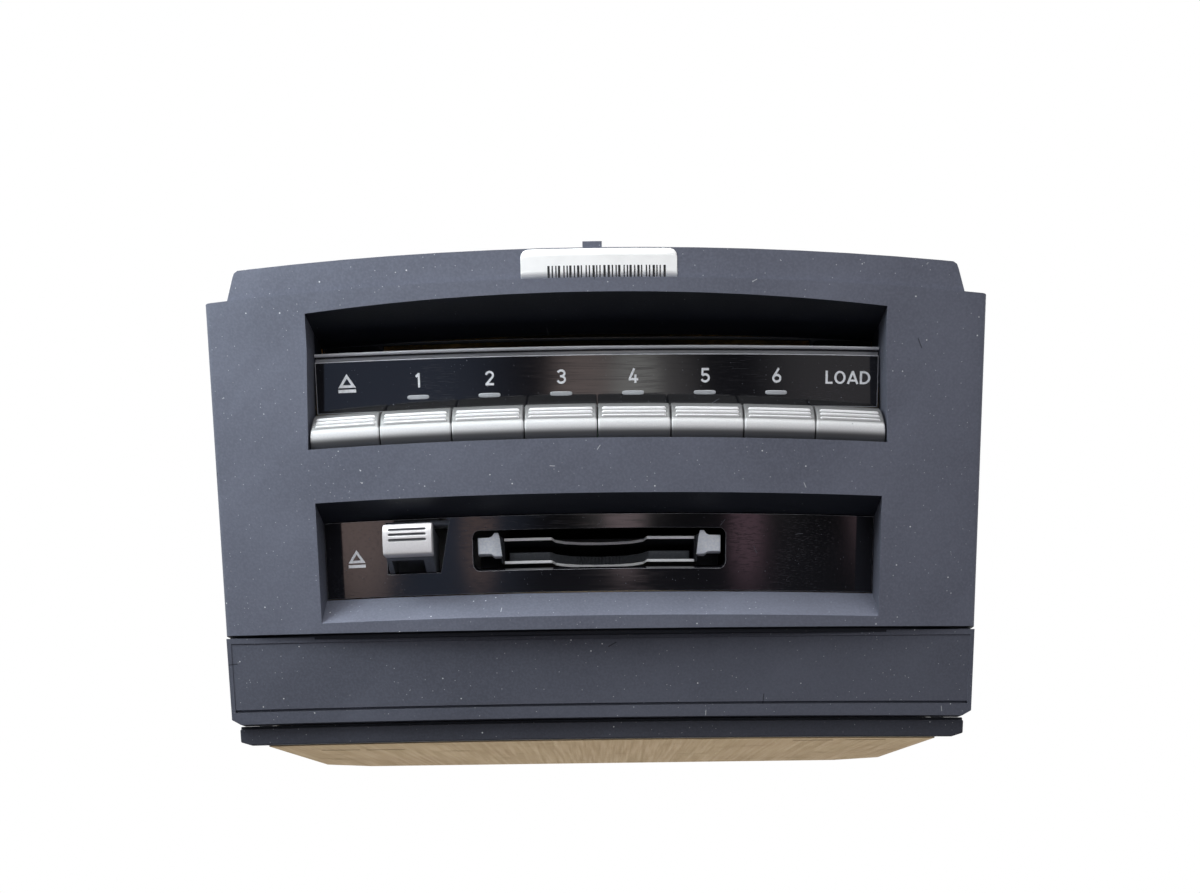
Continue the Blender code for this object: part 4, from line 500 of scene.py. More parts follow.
def plated(name, colour, tint, rough=0.36, metal=0.9, edge=(1.0, 1.0, 1.0, 1)):
    """Plated sheet: rolling lines along one way, cloudy colour from the passivation, stains and
    scratches."""
    paint = Paint(name)
    rolled = paint.noise(1.0, 3.0, 0.6, paint.turned((900, 14, 900)))
    streak = paint.noise(1.0, 4.0, 0.65, paint.turned((46, 5, 46)))
    cloud = paint.noise(16, 5.0, 0.65)
    stain = paint.ramp(paint.noise(48, 5.0, 0.7), 0.54, 0.74)
    scratch = paint.lint(40, 0.30, 0.008, 0.6, True)
    tone = paint.mix(paint.ramp(cloud * 0.5 + streak * 0.5, 0.40, 0.60), rgba(colour), rgba(tint))
    tone = paint.mix(paint.ramp(streak, 0.56, 0.72) * 0.25, tone, tinted(tint, 1.25))
    tone = paint.mix(stain * 0.3, tone, tinted(colour, 0.6))
    tone = paint.mix(scratch * 0.4, tone, tinted(tint, 1.8))
    roughness = (paint.ramp(rolled, 0.3, 0.7, rough - 0.07, rough + 0.07) + stain * 0.15).clear()
    normal = paint.bump(rolled * 0.6 + paint.noise(300, 3.0) * 0.5, 0.00003, 0.4)
    return paint.surface(
        Base_Color=tone, Roughness=roughness, Metallic=metal, Normal=normal, Specular_Tint=edge
    )


def board_look(name, colour):
    """Circuit board: paler tracks under the lacquer, in a grid of cells, with solder dots."""
    paint = Paint(name)
    cells = {"Vector": paint.where, "Scale": 320}
    cell = paint.node("ShaderNodeTexVoronoi", {"distance": "MANHATTAN"}, cells, "Distance")
    track = paint.ramp(abs(cell - 0.35), 0.05, 0.02)
    solder = paint.specks(260, 0.14, 0.5)
    tone = paint.mix(track * 0.5, rgba(colour), tinted(colour, 1.9))
    tone = paint.mix(solder, tone, (0.62, 0.62, 0.60, 1))
    metal = solder * 0.9
    normal = paint.bump(track + solder, 0.00005, 0.4)
    return paint.surface(Base_Color=tone, Roughness=0.35, Metallic=metal, Normal=normal)


def paper(name, colour):
    """Matt white label: fibres in its bump and a faint unevenness in its tone."""
    paint = Paint(name)
    fibre = paint.noise(1900, 4.0, 0.7)
    tone = paint.mix(paint.ramp(paint.noise(120, 3.0), 0.4, 0.7), rgba(colour), tinted(colour, 0.94))
    return paint.surface(Base_Color=tone, Roughness=0.7, Normal=paint.bump(fibre, 0.00001, 0.4))


def ink(name, colour):
    """Screen print: slightly uneven in cover, with a fine grain."""
    paint = Paint(name)
    tone = paint.mix(paint.ramp(paint.noise(1500, 3.0), 0.35, 0.7), rgba(colour), tinted(colour, 0.85))
    normal = paint.bump(paint.noise(2500, 2.0), 0.000006, 0.3)
    return paint.surface(Base_Color=tone, Roughness=0.5, Normal=normal)


def window(name, colour):
    """Milky light guide: a faint unevenness in its tone, with a clear coat over it."""
    paint = Paint(name)
    tone = paint.mix(paint.ramp(paint.noise(240, 3.0), 0.3, 0.7), rgba(colour), tinted(colour, 0.8))
    normal = paint.bump(paint.noise(900, 2.0), 0.00001, 0.4)
    return paint.surface(Base_Color=tone, Roughness=0.35, Coat_Weight=0.6, Normal=normal)


LOOKS = {
    "ledge": lambda name: gloss(name, (0.010, 0.011, 0.013)),
    "slate": lambda name: moulding(name, colours().fascia),
    "slate_rim": lambda name: moulding(name, tinted(colours().fascia, 1.05), 1.2),
    "slate_trim": lambda name: moulding(name, tinted(colours().fascia, 0.72), 1.0),
    "slate_flange": lambda name: moulding(name, tinted(colours().fascia, 0.42), 0.8),
    # Painted shade: a dark moulding for walls, undersides and gaps where shade falls.
    "shadow": lambda name: moulding(name, colours().pocket, 0.3, 0.5),
    # Painted highlight: a lighter copy of the fascia's moulding for its rounded edges.
    "slate_edge": lambda name: moulding(name, tinted(colours().fascia, 1.7), 0.6),
    "guide_grey": lambda name: moulding(name, (0.72, 0.77, 0.86), 0.1, 0.36),
    # Painted highlight: a lighter grey for the card guide's lip fronts.
    "guide_lip": lambda name: moulding(name, (0.88, 0.90, 0.93), 0.1, 0.30),
    # Painted shade: near black over the card guide's body, in shade inside the slot.
    "guide_dark": lambda name: moulding(name, (0.016, 0.018, 0.023), 0.3, 0.45),
    "card_door": lambda name: moulding(name, (0.085, 0.092, 0.105), 0.3, 0.45),
    "well": lambda name: moulding(name, (0.28, 0.31, 0.38), 0.3, 0.40),
    "dark_plastic": lambda name: moulding(name, colours().dark_plastic, 0.3, 0.5),
    "pale_plastic": lambda name: moulding(name, (0.30, 0.30, 0.29), 0.3, 0.45),
    "button_body": lambda name: moulding(name, (0.13, 0.14, 0.165), 0.3, 0.42),
    "rubber": lambda name: moulding(name, (0.02, 0.02, 0.021), 0.3, 0.7),
    "gloss": lambda name: gloss(name, colours().gloss),
    # Painted highlight: a light gloss for the rounded edges of the strip and the plate, and the pocket
    # ledge's nose.
    "gloss_edge": lambda name: gloss(name, (0.45, 0.46, 0.50), 0.16, 0.3),
    "silver": lambda name: silver(name, colours().keys),
    # The cap's grooves take the dark second tone: painted shade in them.
    "cap": lambda name: silver(name, (0.80, 0.78, 0.80, 1), (0.10, 0.10, 0.11, 1), 0.2),
    "gold_steel": lambda name: plated(
        name, colours().chassis, colours().chassis_tint, 0.38, 0.85, (0.90, 0.74, 0.52, 1)
    ),
    # Painted shade: the card cage is plated like the chassis, but dark, as it lies in shade inside the
    # slot.
    "dull_steel": lambda name: plated(name, (0.05, 0.05, 0.055), (0.07, 0.07, 0.075), 0.4, 0.4),
    "steel": lambda name: plated(name, (0.55, 0.55, 0.54), (0.62, 0.60, 0.56), 0.32),
    "alloy": lambda name: plated(name, (0.60, 0.61, 0.62), (0.52, 0.53, 0.55), 0.42),
    "brass": lambda name: plated(name, (0.62, 0.47, 0.22), (0.70, 0.54, 0.27), 0.28),
    "board": lambda name: board_look(name, (0.02, 0.11, 0.05)),
    "label": lambda name: paper(name, (0.95, 0.95, 0.95)),
    "label_ink": lambda name: ink(name, (0.02, 0.02, 0.022)),
    "legend": lambda name: ink(name, colours().legend),
    "lamp": lambda name: window(name, colours().lamp),
}


# --- Sizes and colours that a user would change -------------------------------------------------


def length(name, description, default):
    """A size in metres, for the panel."""
    return bpy.props.FloatProperty(
        name=name, description=description, default=default, unit="LENGTH", precision=5, min=0.0
    )


def colour(name, description, default):
    """A colour, for the panel."""
    return bpy.props.FloatVectorProperty(
        name=name, description=description, default=default, subtype="COLOR", size=3, min=0.0, max=1.0
    )


class RadioSizes(bpy.types.PropertyGroup):
    """The front's own fine sizes. The rest follows the solids."""

    edge: length("Edge", "Rounding of the moulding's edges", 0.0003)
    corner: length("Corner", "Rounding of the face's left and right edges, seen from above", 0.0015)
    key_rib: length("Key rib", "How far the ribs of a key stand up", 0.0004)
    key_end: length("Key end", "Rounding of a key's ends", 0.0005)
    legend: length("Legend", "Height of the digits", 0.00365)
    label_corner: length("Label corner", "Rounding of the label's upper corners", 0.0020)


class RadioColours(bpy.types.PropertyGroup):
    """The colours of the main finishes."""

    fascia: colour("Fascia", "Matt moulding of the front", (0.116, 0.125, 0.163))
    # Painted shade: the tone of the shadow finish, laid where shade falls in the openings, the pocket and
    # the gaps.
    pocket: colour("Pocket", "Shaded walls inside the openings", (0.012, 0.015, 0.024))
    dark_plastic: colour("Dark plastic", "Inner and rear mouldings", (0.018, 0.018, 0.020))
    gloss: colour("Gloss", "Strip and plate", (0.006, 0.006, 0.008))
    keys: colour("Keys", "Lacquer of the keys", (0.93, 0.94, 0.96))
    chassis: colour("Chassis", "Plated sheet", (0.66, 0.500, 0.310))
    chassis_tint: colour("Chassis tint", "Second tone of the plated sheet", (0.72, 0.575, 0.365))
    legend: colour("Legend", "Printed signs", (0.78, 0.80, 0.84))
    lamp: colour("Lamp", "Small windows over the keys", (0.42, 0.44, 0.47))


# --- The front ----------------------------------------------------------------------------------


def fascia(sizes):
    """The moulding with two openings. Its front is a lattice whose left and right edges fall away by a
    quarter circle, depth = r - sqrt(r^2 - e^2) at e inside the edge. The pocket's brow falls with the
    square of the distance across. Each opening's wall is its rim carried back. The recess's sill rises,
    and its ceiling and the pocket's fall, in proportion to the depth."""
    foot, sill, recess_top, keys_foot = 0.0291, 0.0326, 0.0642, 0.0780
    hood_foot, turn, ceiling, top = 0.1005, 0.1030, 0.1130, 0.1170
    half, foot_half, opening, flare = 0.1090, 0.1096, 0.0800, 0.0012
    back, hood_back, recess_back = 0.0132, 0.0247, 0.0134
    foot_bow, brow_rise, brow_bow = 0.0015, 0.0006, 0.0017
    sill_rise, recess_fall, ceiling_fall, fall_depth = 0.0078, 0.0027, 0.0017, 0.025
    r = sizes.corner
    roll = 1 - np.sin(np.radians([90, 75, 60, 45, 30, 15]))
    middle = cuts([-half + r, -opening, opening, half - r], 0.004)
    xs = np.concatenate([-half + r * roll, middle, (half - r * roll)[::-1]])
    zs = cuts([foot, sill, recess_top, keys_foot, hood_foot, turn, ceiling, top], 0.004)
    x, z = np.meshgrid(xs, zs)
    from_side = np.clip(np.abs(x) - (half - r), 0, r)
    depth = r - np.sqrt(r ** 2 - from_side ** 2)
    middle_x, middle_z = np.meshgrid((xs[1:] + xs[:-1]) / 2, (zs[1:] + zs[:-1]) / 2)
    inside = np.abs(middle_x) < opening
    low_hole = inside & (middle_z > sill) & (middle_z < recess_top)
    high_hole = inside & (middle_z > keys_foot) & (middle_z < ceiling)
    wide = foot_half + (half - foot_half) * (z - foot) / (top - foot)
    outer = np.clip((np.abs(x) - opening) / (half - opening), 0, 1)
    spread = flare * np.clip((turn - z) / (turn - keys_foot), 0, 1)
    spread = spread * np.clip((z - recess_top) / (keys_foot - recess_top), 0, 1)
    near = np.where(np.abs(x) <= opening, np.abs(x) / opening, 1 - outer)
    across = x + np.sign(x) * ((wide - half) * outer + spread * near)
    rise = foot_bow * (x / half) ** 2 * np.clip(1 - (z - foot) / (sill - foot), 0, 1)
    brow = brow_rise - brow_bow * np.minimum(np.abs(x) / opening, 1) ** 2
    brow = brow * np.minimum(np.clip((z - turn) / (ceiling - turn), 0, 1), (top - z) / (top - ceiling))
    flat = flat_points(across, depth, z + rise + brow)
    column = [int(np.argmin(np.abs(xs - value))) for value in (-opening, opening)]
    levels = (sill, recess_top, keys_foot, hood_foot, ceiling)
    row = {value: int(np.argmin(np.abs(zs - value))) for value in levels}

    def carried(loop, depths, move=None, share_of=None):
        """A rim carried back through some depths, with each ring moved up or down as move says."""
        rows = []
        for deep in depths:
            moved = loop.copy()
            moved[:, 1] = np.maximum(loop[:, 1], deep)
            if move:
                moved[:, 2] += move(loop, deep)
            rows.append(lay(moved, (share_of(deep), HALF[1]) if share_of else FULL))
        return np.stack(rows), None

    def recess_move(loop, deep):
        up = np.clip((loop[:, 2] - sill) / (recess_top - sill), 0, 1)
        return min(deep / PLATE_DEPTH, 1) * (sill_rise * (1 - up) - recess_fall * up)

    def pocket_move(loop, deep):
        up = np.clip((loop[:, 2] - turn) / (ceiling - turn), 0, 1)
        return -ceiling_fall * deep / fall_depth * up

    def hood_share(deep):
        return FULL[0] + (HALF[0] - FULL[0]) * (deep - back) / (hood_back - back)

    skirt = ring(flat, (0, len(xs) - 1), (0, len(zs) - 1))[::-1]
    recess = ring(flat, column, (row[sill], row[recess_top]))
    pocket_rim = ring(flat, column, (row[keys_foot], row[ceiling]))
    left, right = column
    low, high = row[hood_foot], row[ceiling]
    hood = np.concatenate([
        flat[low:high, right], flat[high, right:left:-1], flat[high:low - 1:-1, left],
    ])
    obj = patchwork("fascia_moulding", [
        (lay(flat), ~(low_hole | high_hole)),
        carried(skirt, np.linspace(0, back, 5)),
        carried(recess, [0, 0.0038, 0.0077, PLATE_DEPTH, recess_back], recess_move),
        carried(pocket_rim, np.linspace(0, back, 5), pocket_move),
        carried(hood, np.linspace(back, hood_back, 5), pocket_move, hood_share),
    ])
    centre = np.array([polygon.center[:] for polygon in obj.data.polygons])
    normal = np.array([polygon.normal[:] for polygon in obj.data.polygons])
    deep = centre[:, 1] - (FACE_START - LEAN * centre[:, 2] + centre[:, 0] ** 2 / BOW)
    aside, up, facing = np.abs(centre[:, 0]), centre[:, 2], normal[:, 2]
    ceilings = (facing < -0.85) & (deep > 0.0003) & (up > 0.05) & (aside < 0.081)
    hood_walls = (up > hood_foot) & (deep > back) & (aside < 0.082)
    under_skirt = (up < sill + 0.0020) & (facing < -0.6) & (deep > 0.0006)
    finishes = [look("slate"), look("shadow"), look("slate_edge")]
    place(obj, "housing", "matt_slate", finishes, ["front_fascia"])
    # Painted shade: the ceilings, the hood's walls and the skirt's underside take the shadow finish.
    shaded = ceilings | hood_walls | under_skirt
    obj.data.polygons.foreach_set("material_index", shaded.astype(np.int32))
    # The rounded edges take the lighter edge finish: a painted highlight along them.
    thicken(obj, PANEL_WALL, sizes.edge * 0.8, 2)


def trim(sizes):
    """The panel under the fascia: a lattice whose depth steps down inside the border and into the groove,
    and whose top follows the fascia's foot, rising with the square of the distance across. A tongue
    behind it, a profile carried across, closes the gap to the fascia."""
    half, foot, top, rise = 0.1095, 0.0059, 0.0287, 0.0011
    border, strip_top, groove, groove_deep = 0.0014, 0.0092, 0.0005, 0.0013
    setback, deep, soft = 0.0003, 0.0066, 0.00012
    corner_wide, corner_tall, corner_lift = 0.0026, 0.0033, 0.0014
    inner = half - border
    left_side = [-half, -half + 0.0005, -inner - soft, -inner, -half + corner_wide]
    right_side = [half - corner_wide, inner, inner + soft, half - 0.0005, half]
    xs = np.concatenate([left_side, cuts([-inner + 0.003, inner - 0.003], 0.004), right_side])
    steps = [strip_top - soft, strip_top, strip_top + groove, strip_top + groove + soft]
    zs = np.concatenate([
        [foot, foot + 0.0005], cuts([foot + 0.001, steps[0] - 0.0003], 0.0015), steps,
        cuts([steps[-1] + 0.0005, top - border - soft], 0.003), [top - border, top - 0.0004, top],
    ])
    x, z = np.meshgrid(xs, zs)
    in_side = np.clip((inner + soft - np.abs(x)) / soft, 0, 1)
    panel = in_side * np.clip((z - strip_top) / soft, 0, 1) * np.clip((top - border - z) / soft, 0, 1)
    in_groove = in_side * np.clip((z - steps[0]) / soft, 0, 1) * np.clip((steps[-1] - z) / soft, 0, 1)
    depth = np.maximum(setback * panel, groove_deep * in_groove)
    corner = np.clip((np.abs(x) - half + corner_wide) / corner_wide, 0, 1)
    corner = corner * np.clip(1 - (z - foot) / corner_tall, 0, 1)
    lift = rise * (x / half) ** 2 * (z - foot) / (top - foot) + corner_lift * corner
    flat = flat_points(x, depth, z + lift)
    edge = ring(flat, (0, len(xs) - 1), (0, len(zs) - 1))[::-1]
    back = edge.copy()
    back[:, 1] = deep
    obj = patchwork("trim_panel", [(lay(flat, TRIM), None), (lay(np.stack([edge, back]), TRIM), None)])
    place(obj, "housing", "matt_slate", look("slate_trim"), ["lower_trim"])
    thicken(obj, 0.0018, sizes.edge * 0.8)

    across = cuts([-0.1086, 0.1086], 0.004)
    under = top + rise * (across / half) ** 2 - 0.0006
    over = 0.0291 + 0.0015 * (across / half) ** 2 - 0.0002
    corners = [(0.0024, under), (0.0024, over), (0.0060, over), (0.0060, under)]
    # The tongue is a dark sheet in the shadow finish: painted shade in the gap.
    tongue = loft("trim_tongue", profile_loops(across, corners))
    place(tongue, "housing", "matt_slate", look("shadow"))


def flange(sizes):
    """The bar under the trim: an outline with cut lower corners, carried back and laid on the face."""
    half, low, high, cut_in, cut_up, lip_up = 0.1079, 0.0003, 0.0048, 0.0030, 0.0009, 0.0009
    xs = cuts([-half, -half + cut_in, half - cut_in, half], 0.004)
    foot = low + cut_up * np.clip((np.abs(xs) - (half - cut_in)) / cut_in, 0, 1)
    lip = high + lip_up
    corners = [(0.0028, foot), (0.0028, high), (0.0042, high), (0.0042, lip), (0.0058, lip), (0.0058, foot)]
    obj = loft("flange_bar", profile_loops(xs, corners), TRIM)
    place(obj, "housing", "matt_slate", look("slate_flange"), ["bottom_flange"])
    round_edges(obj, sizes.edge)


def strip(sizes):
    """The glossy strip: a plain lattice with rounded edges, bowed half as far as the fascia."""
    low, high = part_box("legend_strip")
    edge = 0.0008
    xs = cuts([low[0], low[0] + edge, high[0] - edge, high[0]], 0.003)
    zs = cuts([low[2], low[2] + edge, high[2] - edge, high[2]], 0.002)
    obj = plate("strip_panel", xs, zs, STRIP_DEPTH, (), HALF)
    place(obj, "housing", "gloss_black", [look("gloss"), look("gloss_edge")], ["legend_strip"])
    # The rounded edges take the light edge finish: a painted highlight along them.
    thicken(obj, PANEL_WALL, 0.00025, 1)


def lamps(sizes):
    """Six windows: rings of a rounded bar, |x/a|^n + |z/b|^m = 1, shrunk as they rise to a low dome."""
    half_wide, half_tall, height = 0.0031, 0.00056, 0.0928
    dome = ((0.0, 0.0004), (0.0, -0.00002), (-0.00008, -0.00010), (-0.0003, -0.00013))
    bar_x, bar_z = rounded_bar(40, 0.34, 0.62)
    grids, lids = [], []
    for index in range(6):
        middle = (index - 2.5) * KEY_PITCH
        loops = np.array([
            flat_points(
                middle + (half_wide + grow) * bar_x, STRIP_DEPTH + out, height + (half_tall + grow) * bar_z
            )
            for grow, out in dome
        ])
        laid = lay(loops, HALF)
        grids.append((np.concatenate([laid, laid[:, :1]], axis=1), None))
        lids += [laid[0][::-1], laid[-1]]
    obj = patchwork("lamp_windows", grids, lids)
    place(obj, "housing", "smoked_clear", look("lamp"), ["light_guide"], DOMED)


def arc(centre, radii, start, stop, count=14):
    """Points round an ellipse: centre plus the radii times the cosine and the sine of the angle."""
    angle = np.radians(np.linspace(start, stop, count))
    return np.stack([centre[0] + radii[0] * np.cos(angle), centre[1] + radii[1] * np.sin(angle)], axis=-1)


def signs():
    """Each sign's strokes, in units of its height: width, then the lines that a pen's middle follows."""
    t = 0.075  # half the pen's width
    return {
        "1": (0.44, [[(0.28, 0.0), (0.28, 1.0)], [(0.05, 0.74), (0.28, 0.95)]]),
        "2": (0.70, [
            np.concatenate([arc((0.35, 0.70), (0.27, 0.225), 172, -35), [(0.09, t)]]),
            [(0.02, t), (0.68, t)],
        ]),
        "3": (0.70, [
            arc((0.33, 0.725), (0.26, 0.20), 162, -90), arc((0.33, 0.30), (0.29, 0.225), 90, -162),
            [(0.24, 0.525), (0.35, 0.525)],
        ]),
        "4": (0.74, [
            [(0.44, 1.0), (0.06, 0.27)], [(0.01, 0.25), (0.74, 0.25)], [(0.52, 0.0), (0.52, 0.58)],
        ]),
        "5": (0.70, [
            [(0.63, 1 - t), (0.10, 1 - t)], [(0.14, 0.98), (0.11, 0.50)],
            arc((0.33, 0.32), (0.29, 0.245), 138, -158, 20),
        ]),
        "6": (0.70, [arc((0.35, 0.31), (0.275, 0.235), 0, 360, 26), [(0.50, 1.0), (0.10, 0.41)]]),
        "L": (0.50, [[(t, 0.0), (t, 1.0)], [(t, t), (0.50, t)]]),
        "O": (0.80, [arc((0.40, 0.50), (0.325, 0.425), 0, 360, 32)]),
        "A": (0.78, [
            [(0.05, 0.0), (0.40, 1.0)], [(0.73, 0.0), (0.38, 1.0)], [(0.15, 0.27), (0.63, 0.27)],
        ]),
        "D": (0.74, [
            [(t, 0.0), (t, 1.0)],
            np.concatenate([
                [(0.10, 1 - t), (0.28, 1 - t)], arc((0.28, 0.5), (0.385, 0.425), 90, -90, 20), [(0.10, t)],
            ]),
        ]),
    }


def stroke(path, pen):
    """A ribbon: each point of a path moved half the pen's width to both sides, along the path's
    normal."""
    path = np.asarray(path, float)
    along = np.gradient(path, axis=0)
    along /= np.linalg.norm(along, axis=1)[:, None]
    side = np.stack([along[:, 1], -along[:, 0]], axis=-1) * pen / 2
    return np.stack([path + side, path - side])


def lettering(name, words, centre, height, bowed, depth, wide=None):
    """Signs in a row, made of ribbons, each a hair's breadth from the last so that none lie in one
    plane."""
    pen, gap, hair = 0.16, 0.12, 0.000004
    table, at, ribbons = signs(), 0.0, []
    for letter in words:
        width, paths = table[letter]
        ribbons += [stroke(path, pen) + (at, 0.0) for path in paths]
        at += width + gap
    total = at - gap
    stretch = 1.0 if wide is None else wide / (total * height)
    grids = []
    for order, ribbon in enumerate(ribbons):
        x = (ribbon[..., 0] - total / 2) * height * stretch + centre[0]
        z = (ribbon[..., 1] - 0.5) * height + centre[1]
        grids.append((lay(flat_points(x, depth - order * hair, z), bowed), None))
    return patchwork(name, grids)


def eject_sign(name, centre, bowed, depth):
    """The sign for ejecting: a triangle's outline, from two triangles one inside the other, over a bar."""
    wide, tall, line = 0.0051, 0.0048, 0.00070
    left, right, foot, top = -wide / 2, wide / 2, -tall * 0.24, tall / 2
    side = math.hypot(wide / 2, top - foot)
    reach = wide * (top - foot) / (wide + 2 * side)
    outer = np.array([(left, foot), (right, foot), (0, top)])
    heart = np.array([(0, foot + reach)])
    inner = heart + (outer - heart) * (1 - line / reach)
    bar = np.array([
        [(left, -tall / 2), (right, -tall / 2)], [(left, -tall * 0.33), (right, -tall * 0.33)],
    ])
    triangle = np.stack([np.vstack([outer, outer[:1]]), np.vstack([inner, inner[:1]])])
    grids = [
        (lay(flat_points(shape[..., 0] + centre[0], depth, shape[..., 1] + centre[1]), bowed), None)
        for shape in (triangle, bar)
    ]
    return patchwork(name, grids)


def legends(sizes):
    """The digits, the word for loading and the two eject signs, just proud of their panels."""
    depth = STRIP_DEPTH - SKIN
    pieces = [
        lettering(
            f"digit_{index + 1}", str(index + 1), ((index - 2.5) * KEY_PITCH + 0.00015, 0.0971),
            sizes.legend, HALF, depth,
        )
        for index in range(6)
    ]
    pieces += [
        lettering("word_load", "LOAD", (0.07095, 0.0968), sizes.legend * 0.90, HALF, depth, 0.0128),
        eject_sign("eject_sign_disc", (-0.0707, 0.0970), HALF, depth),
        eject_sign("eject_sign_card", (-0.07045, 0.05125), FULL, PLATE_DEPTH - SKIN),
    ]
    for piece in pieces:
        place(piece, "housing", "gloss_black", look("legend"))


def pocket(sizes):
    """The liner behind the keys' strip: a floor with a rolled front ledge, whose profile is carried across,
    and a back wall, a lattice with the disc slot in it. Two ledges, rounded bars, stand on the wall."""
    roll, start, ledge_z, back = 0.00042, 0.0100, 0.1044, 0.0248
    turns = np.radians(np.linspace(-90, 90, 9))
    nose = np.stack([start + roll - roll * np.cos(turns), ledge_z + roll * np.sin(turns)], axis=-1)
    profile = np.concatenate([
        [(back, 0.1033), (start + 0.0018, 0.1033), (start + 0.0018, 0.1039)], nose,
        [(start + 0.0016, 0.1046), (back, 0.1046)],
    ])
    xs = cuts([-OPENING_HALF, OPENING_HALF], 0.003)
    floor = loft("pocket_floor", profile_loops(xs, profile), HALF)
    # Painted highlight: the ledge's rolled nose takes the light edge finish.
    painted_highlight_bead = [
        int(abs(polygon.normal[2]) < 0.99 and polygon.normal[1] < 0.5) for polygon in floor.data.polygons
    ]
    place(floor, "housing", "black", [look("ledge"), look("gloss_edge")], ["disc_pocket"])
    floor.data.polygons.foreach_set("material_index", painted_highlight_bead)

    low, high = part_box("disc_pocket")
    edge, slot_half, slot_low, slot_high, wall_depth = 0.0006, 0.062, 0.1050, 0.1104, 0.0250
    xs = cuts(
        [-OPENING_HALF, -slot_half, -slot_half + edge, slot_half - edge, slot_half, OPENING_HALF], 0.003
    )
    zs = cuts([low[2], slot_low, slot_low + edge, slot_high - edge, slot_high, high[2]], 0.002)
    wall = plate("pocket_wall", xs, zs, wall_depth, [(-slot_half, slot_half, slot_low, slot_high)], HALF)
    # The back wall takes the shadow finish: black plastic with painted shade over it.
    place(wall, "housing", "black", look("shadow"))
    thicken(wall, PANEL_WALL, FINE_EDGE)

    half_wide, half_tall, tab_z = 0.0082, 0.0008, 0.1095
    bar_x, bar_z = rounded_bar(36, 0.30, 0.55)
    for tag, middle in (("left", -0.0708), ("right", 0.0708)):
        loops = [
            flat_points(middle + (half_wide - draw) * bar_x, deep, tab_z + (half_tall - draw) * bar_z)
            for deep, draw in ((0.0252, 0.0), (0.0242, 0.0), (0.0240, 0.0002))
        ]
        tab = loft("pocket_tab_" + tag, loops, HALF)
        place(tab, "housing", "black", look("ledge"), (), DOMED)


# A button's profile from its top round its front to its foot, as shares of its depth and height.
KEY_CURVE = (
    (0.80, 0.98), (0.55, 0.935), (0.34, 0.81), (0.17, 0.62),
    (0.065, 0.44), (0.045, 0.26), (0.10, 0.10), (0.19, 0.0),
)
CAP_CURVE = ((0.92, 1.0), (0.5, 0.96), (0.15, 0.84), (-0.03, 0.62), (-0.05, 0.32), (0.0, 0.06), (0.10, 0.0))


def roll_button(name, curve, deep, foot, height, ends, ribs, rib, rounding, inset):
    """A button's rounded front: a smooth curve through its profile, with ribs, or grooves where rib is
    below 0, added along its normal as raised cosines, carried across. Near each end the profile is drawn
    in by a quarter circle. The ends are two functions that give the end's place at any height."""
    left, right = ends
    line = smooth_line([(deep * a, foot + height * b) for a, b in curve], 130)
    along = np.gradient(line, axis=0)
    along /= np.linalg.norm(along, axis=1)[:, None]
    normal = np.stack([along[:, 1], -along[:, 0]], axis=-1)
    travelled = np.concatenate([[0], np.cumsum(np.linalg.norm(np.diff(line, axis=0), axis=1))])
    bump = np.zeros(len(line))
    for centre, width in ribs:
        away = np.abs(travelled - centre) / (width / 2)
        bump += np.where(away < 1, 0.5 + 0.5 * np.cos(np.pi * np.clip(away, 0, 1) ** 1.6), 0)
    # Marks: the ribs' bumps, less a darker ground about the ribs, and less a painted shade over the foot,
    # whose roll faces down.
    dark_ground, painted_foot_shade = 0.84, 1.0
    ground = dark_ground * ease((ribs[-1][0] + 0.0016 - travelled) / 0.0014) * (rib > 0)
    under = painted_foot_shade * ease((travelled - travelled[-1] + 0.0038) / 0.0024) * (rib > 0)

    # Rings near an end: how far in from it, how far drawn in, and the share of the ribs' height there.
    turn = np.radians(np.linspace(0, 90, 6))
    steps = np.array([-0.0006, -0.0003, -0.0001, 0.0001, 0.0004])
    near_end = list(zip(
        np.concatenate([rounding * (1 - np.cos(turn)), inset + steps]),
        np.concatenate([rounding * (1 - np.sin(turn)), np.zeros(5)]),
        np.concatenate([np.zeros(6), [0, 0, 0.5, 1.0, 1.0]]),
    ))
    loops, marks = [], []

    def add_ring(place_at, drawn, ribbed):
        marks.append(np.concatenate([[0], 2 * bump * ribbed - ground - under, [0]]))
        moved = line + normal * (bump * rib * ribbed - drawn)[:, None]
        moved[:, 1] = np.clip(moved[:, 1], foot + drawn, foot + height - drawn)
        full = np.concatenate([[(deep, moved[0, 1])], moved, [(deep, foot + drawn)]])
        loops.append(flat_points(place_at(full[:, 1]), full[:, 0], full[:, 1]))

    plain = inset + steps[-1]
    for way_in, drawn, ribbed in near_end:
        add_ring(lambda z: left(z) + way_in, drawn, ribbed)
    for share in np.linspace(0, 1, 7)[1:-1]:
        add_ring(lambda z: left(z) + plain + (right(z) - left(z) - 2 * plain) * share, 0, 1.0)
    for way_in, drawn, ribbed in near_end[::-1]:
        add_ring(lambda z: right(z) - way_in, drawn, ribbed)
    return loft(name, loops, marks=np.array(marks))


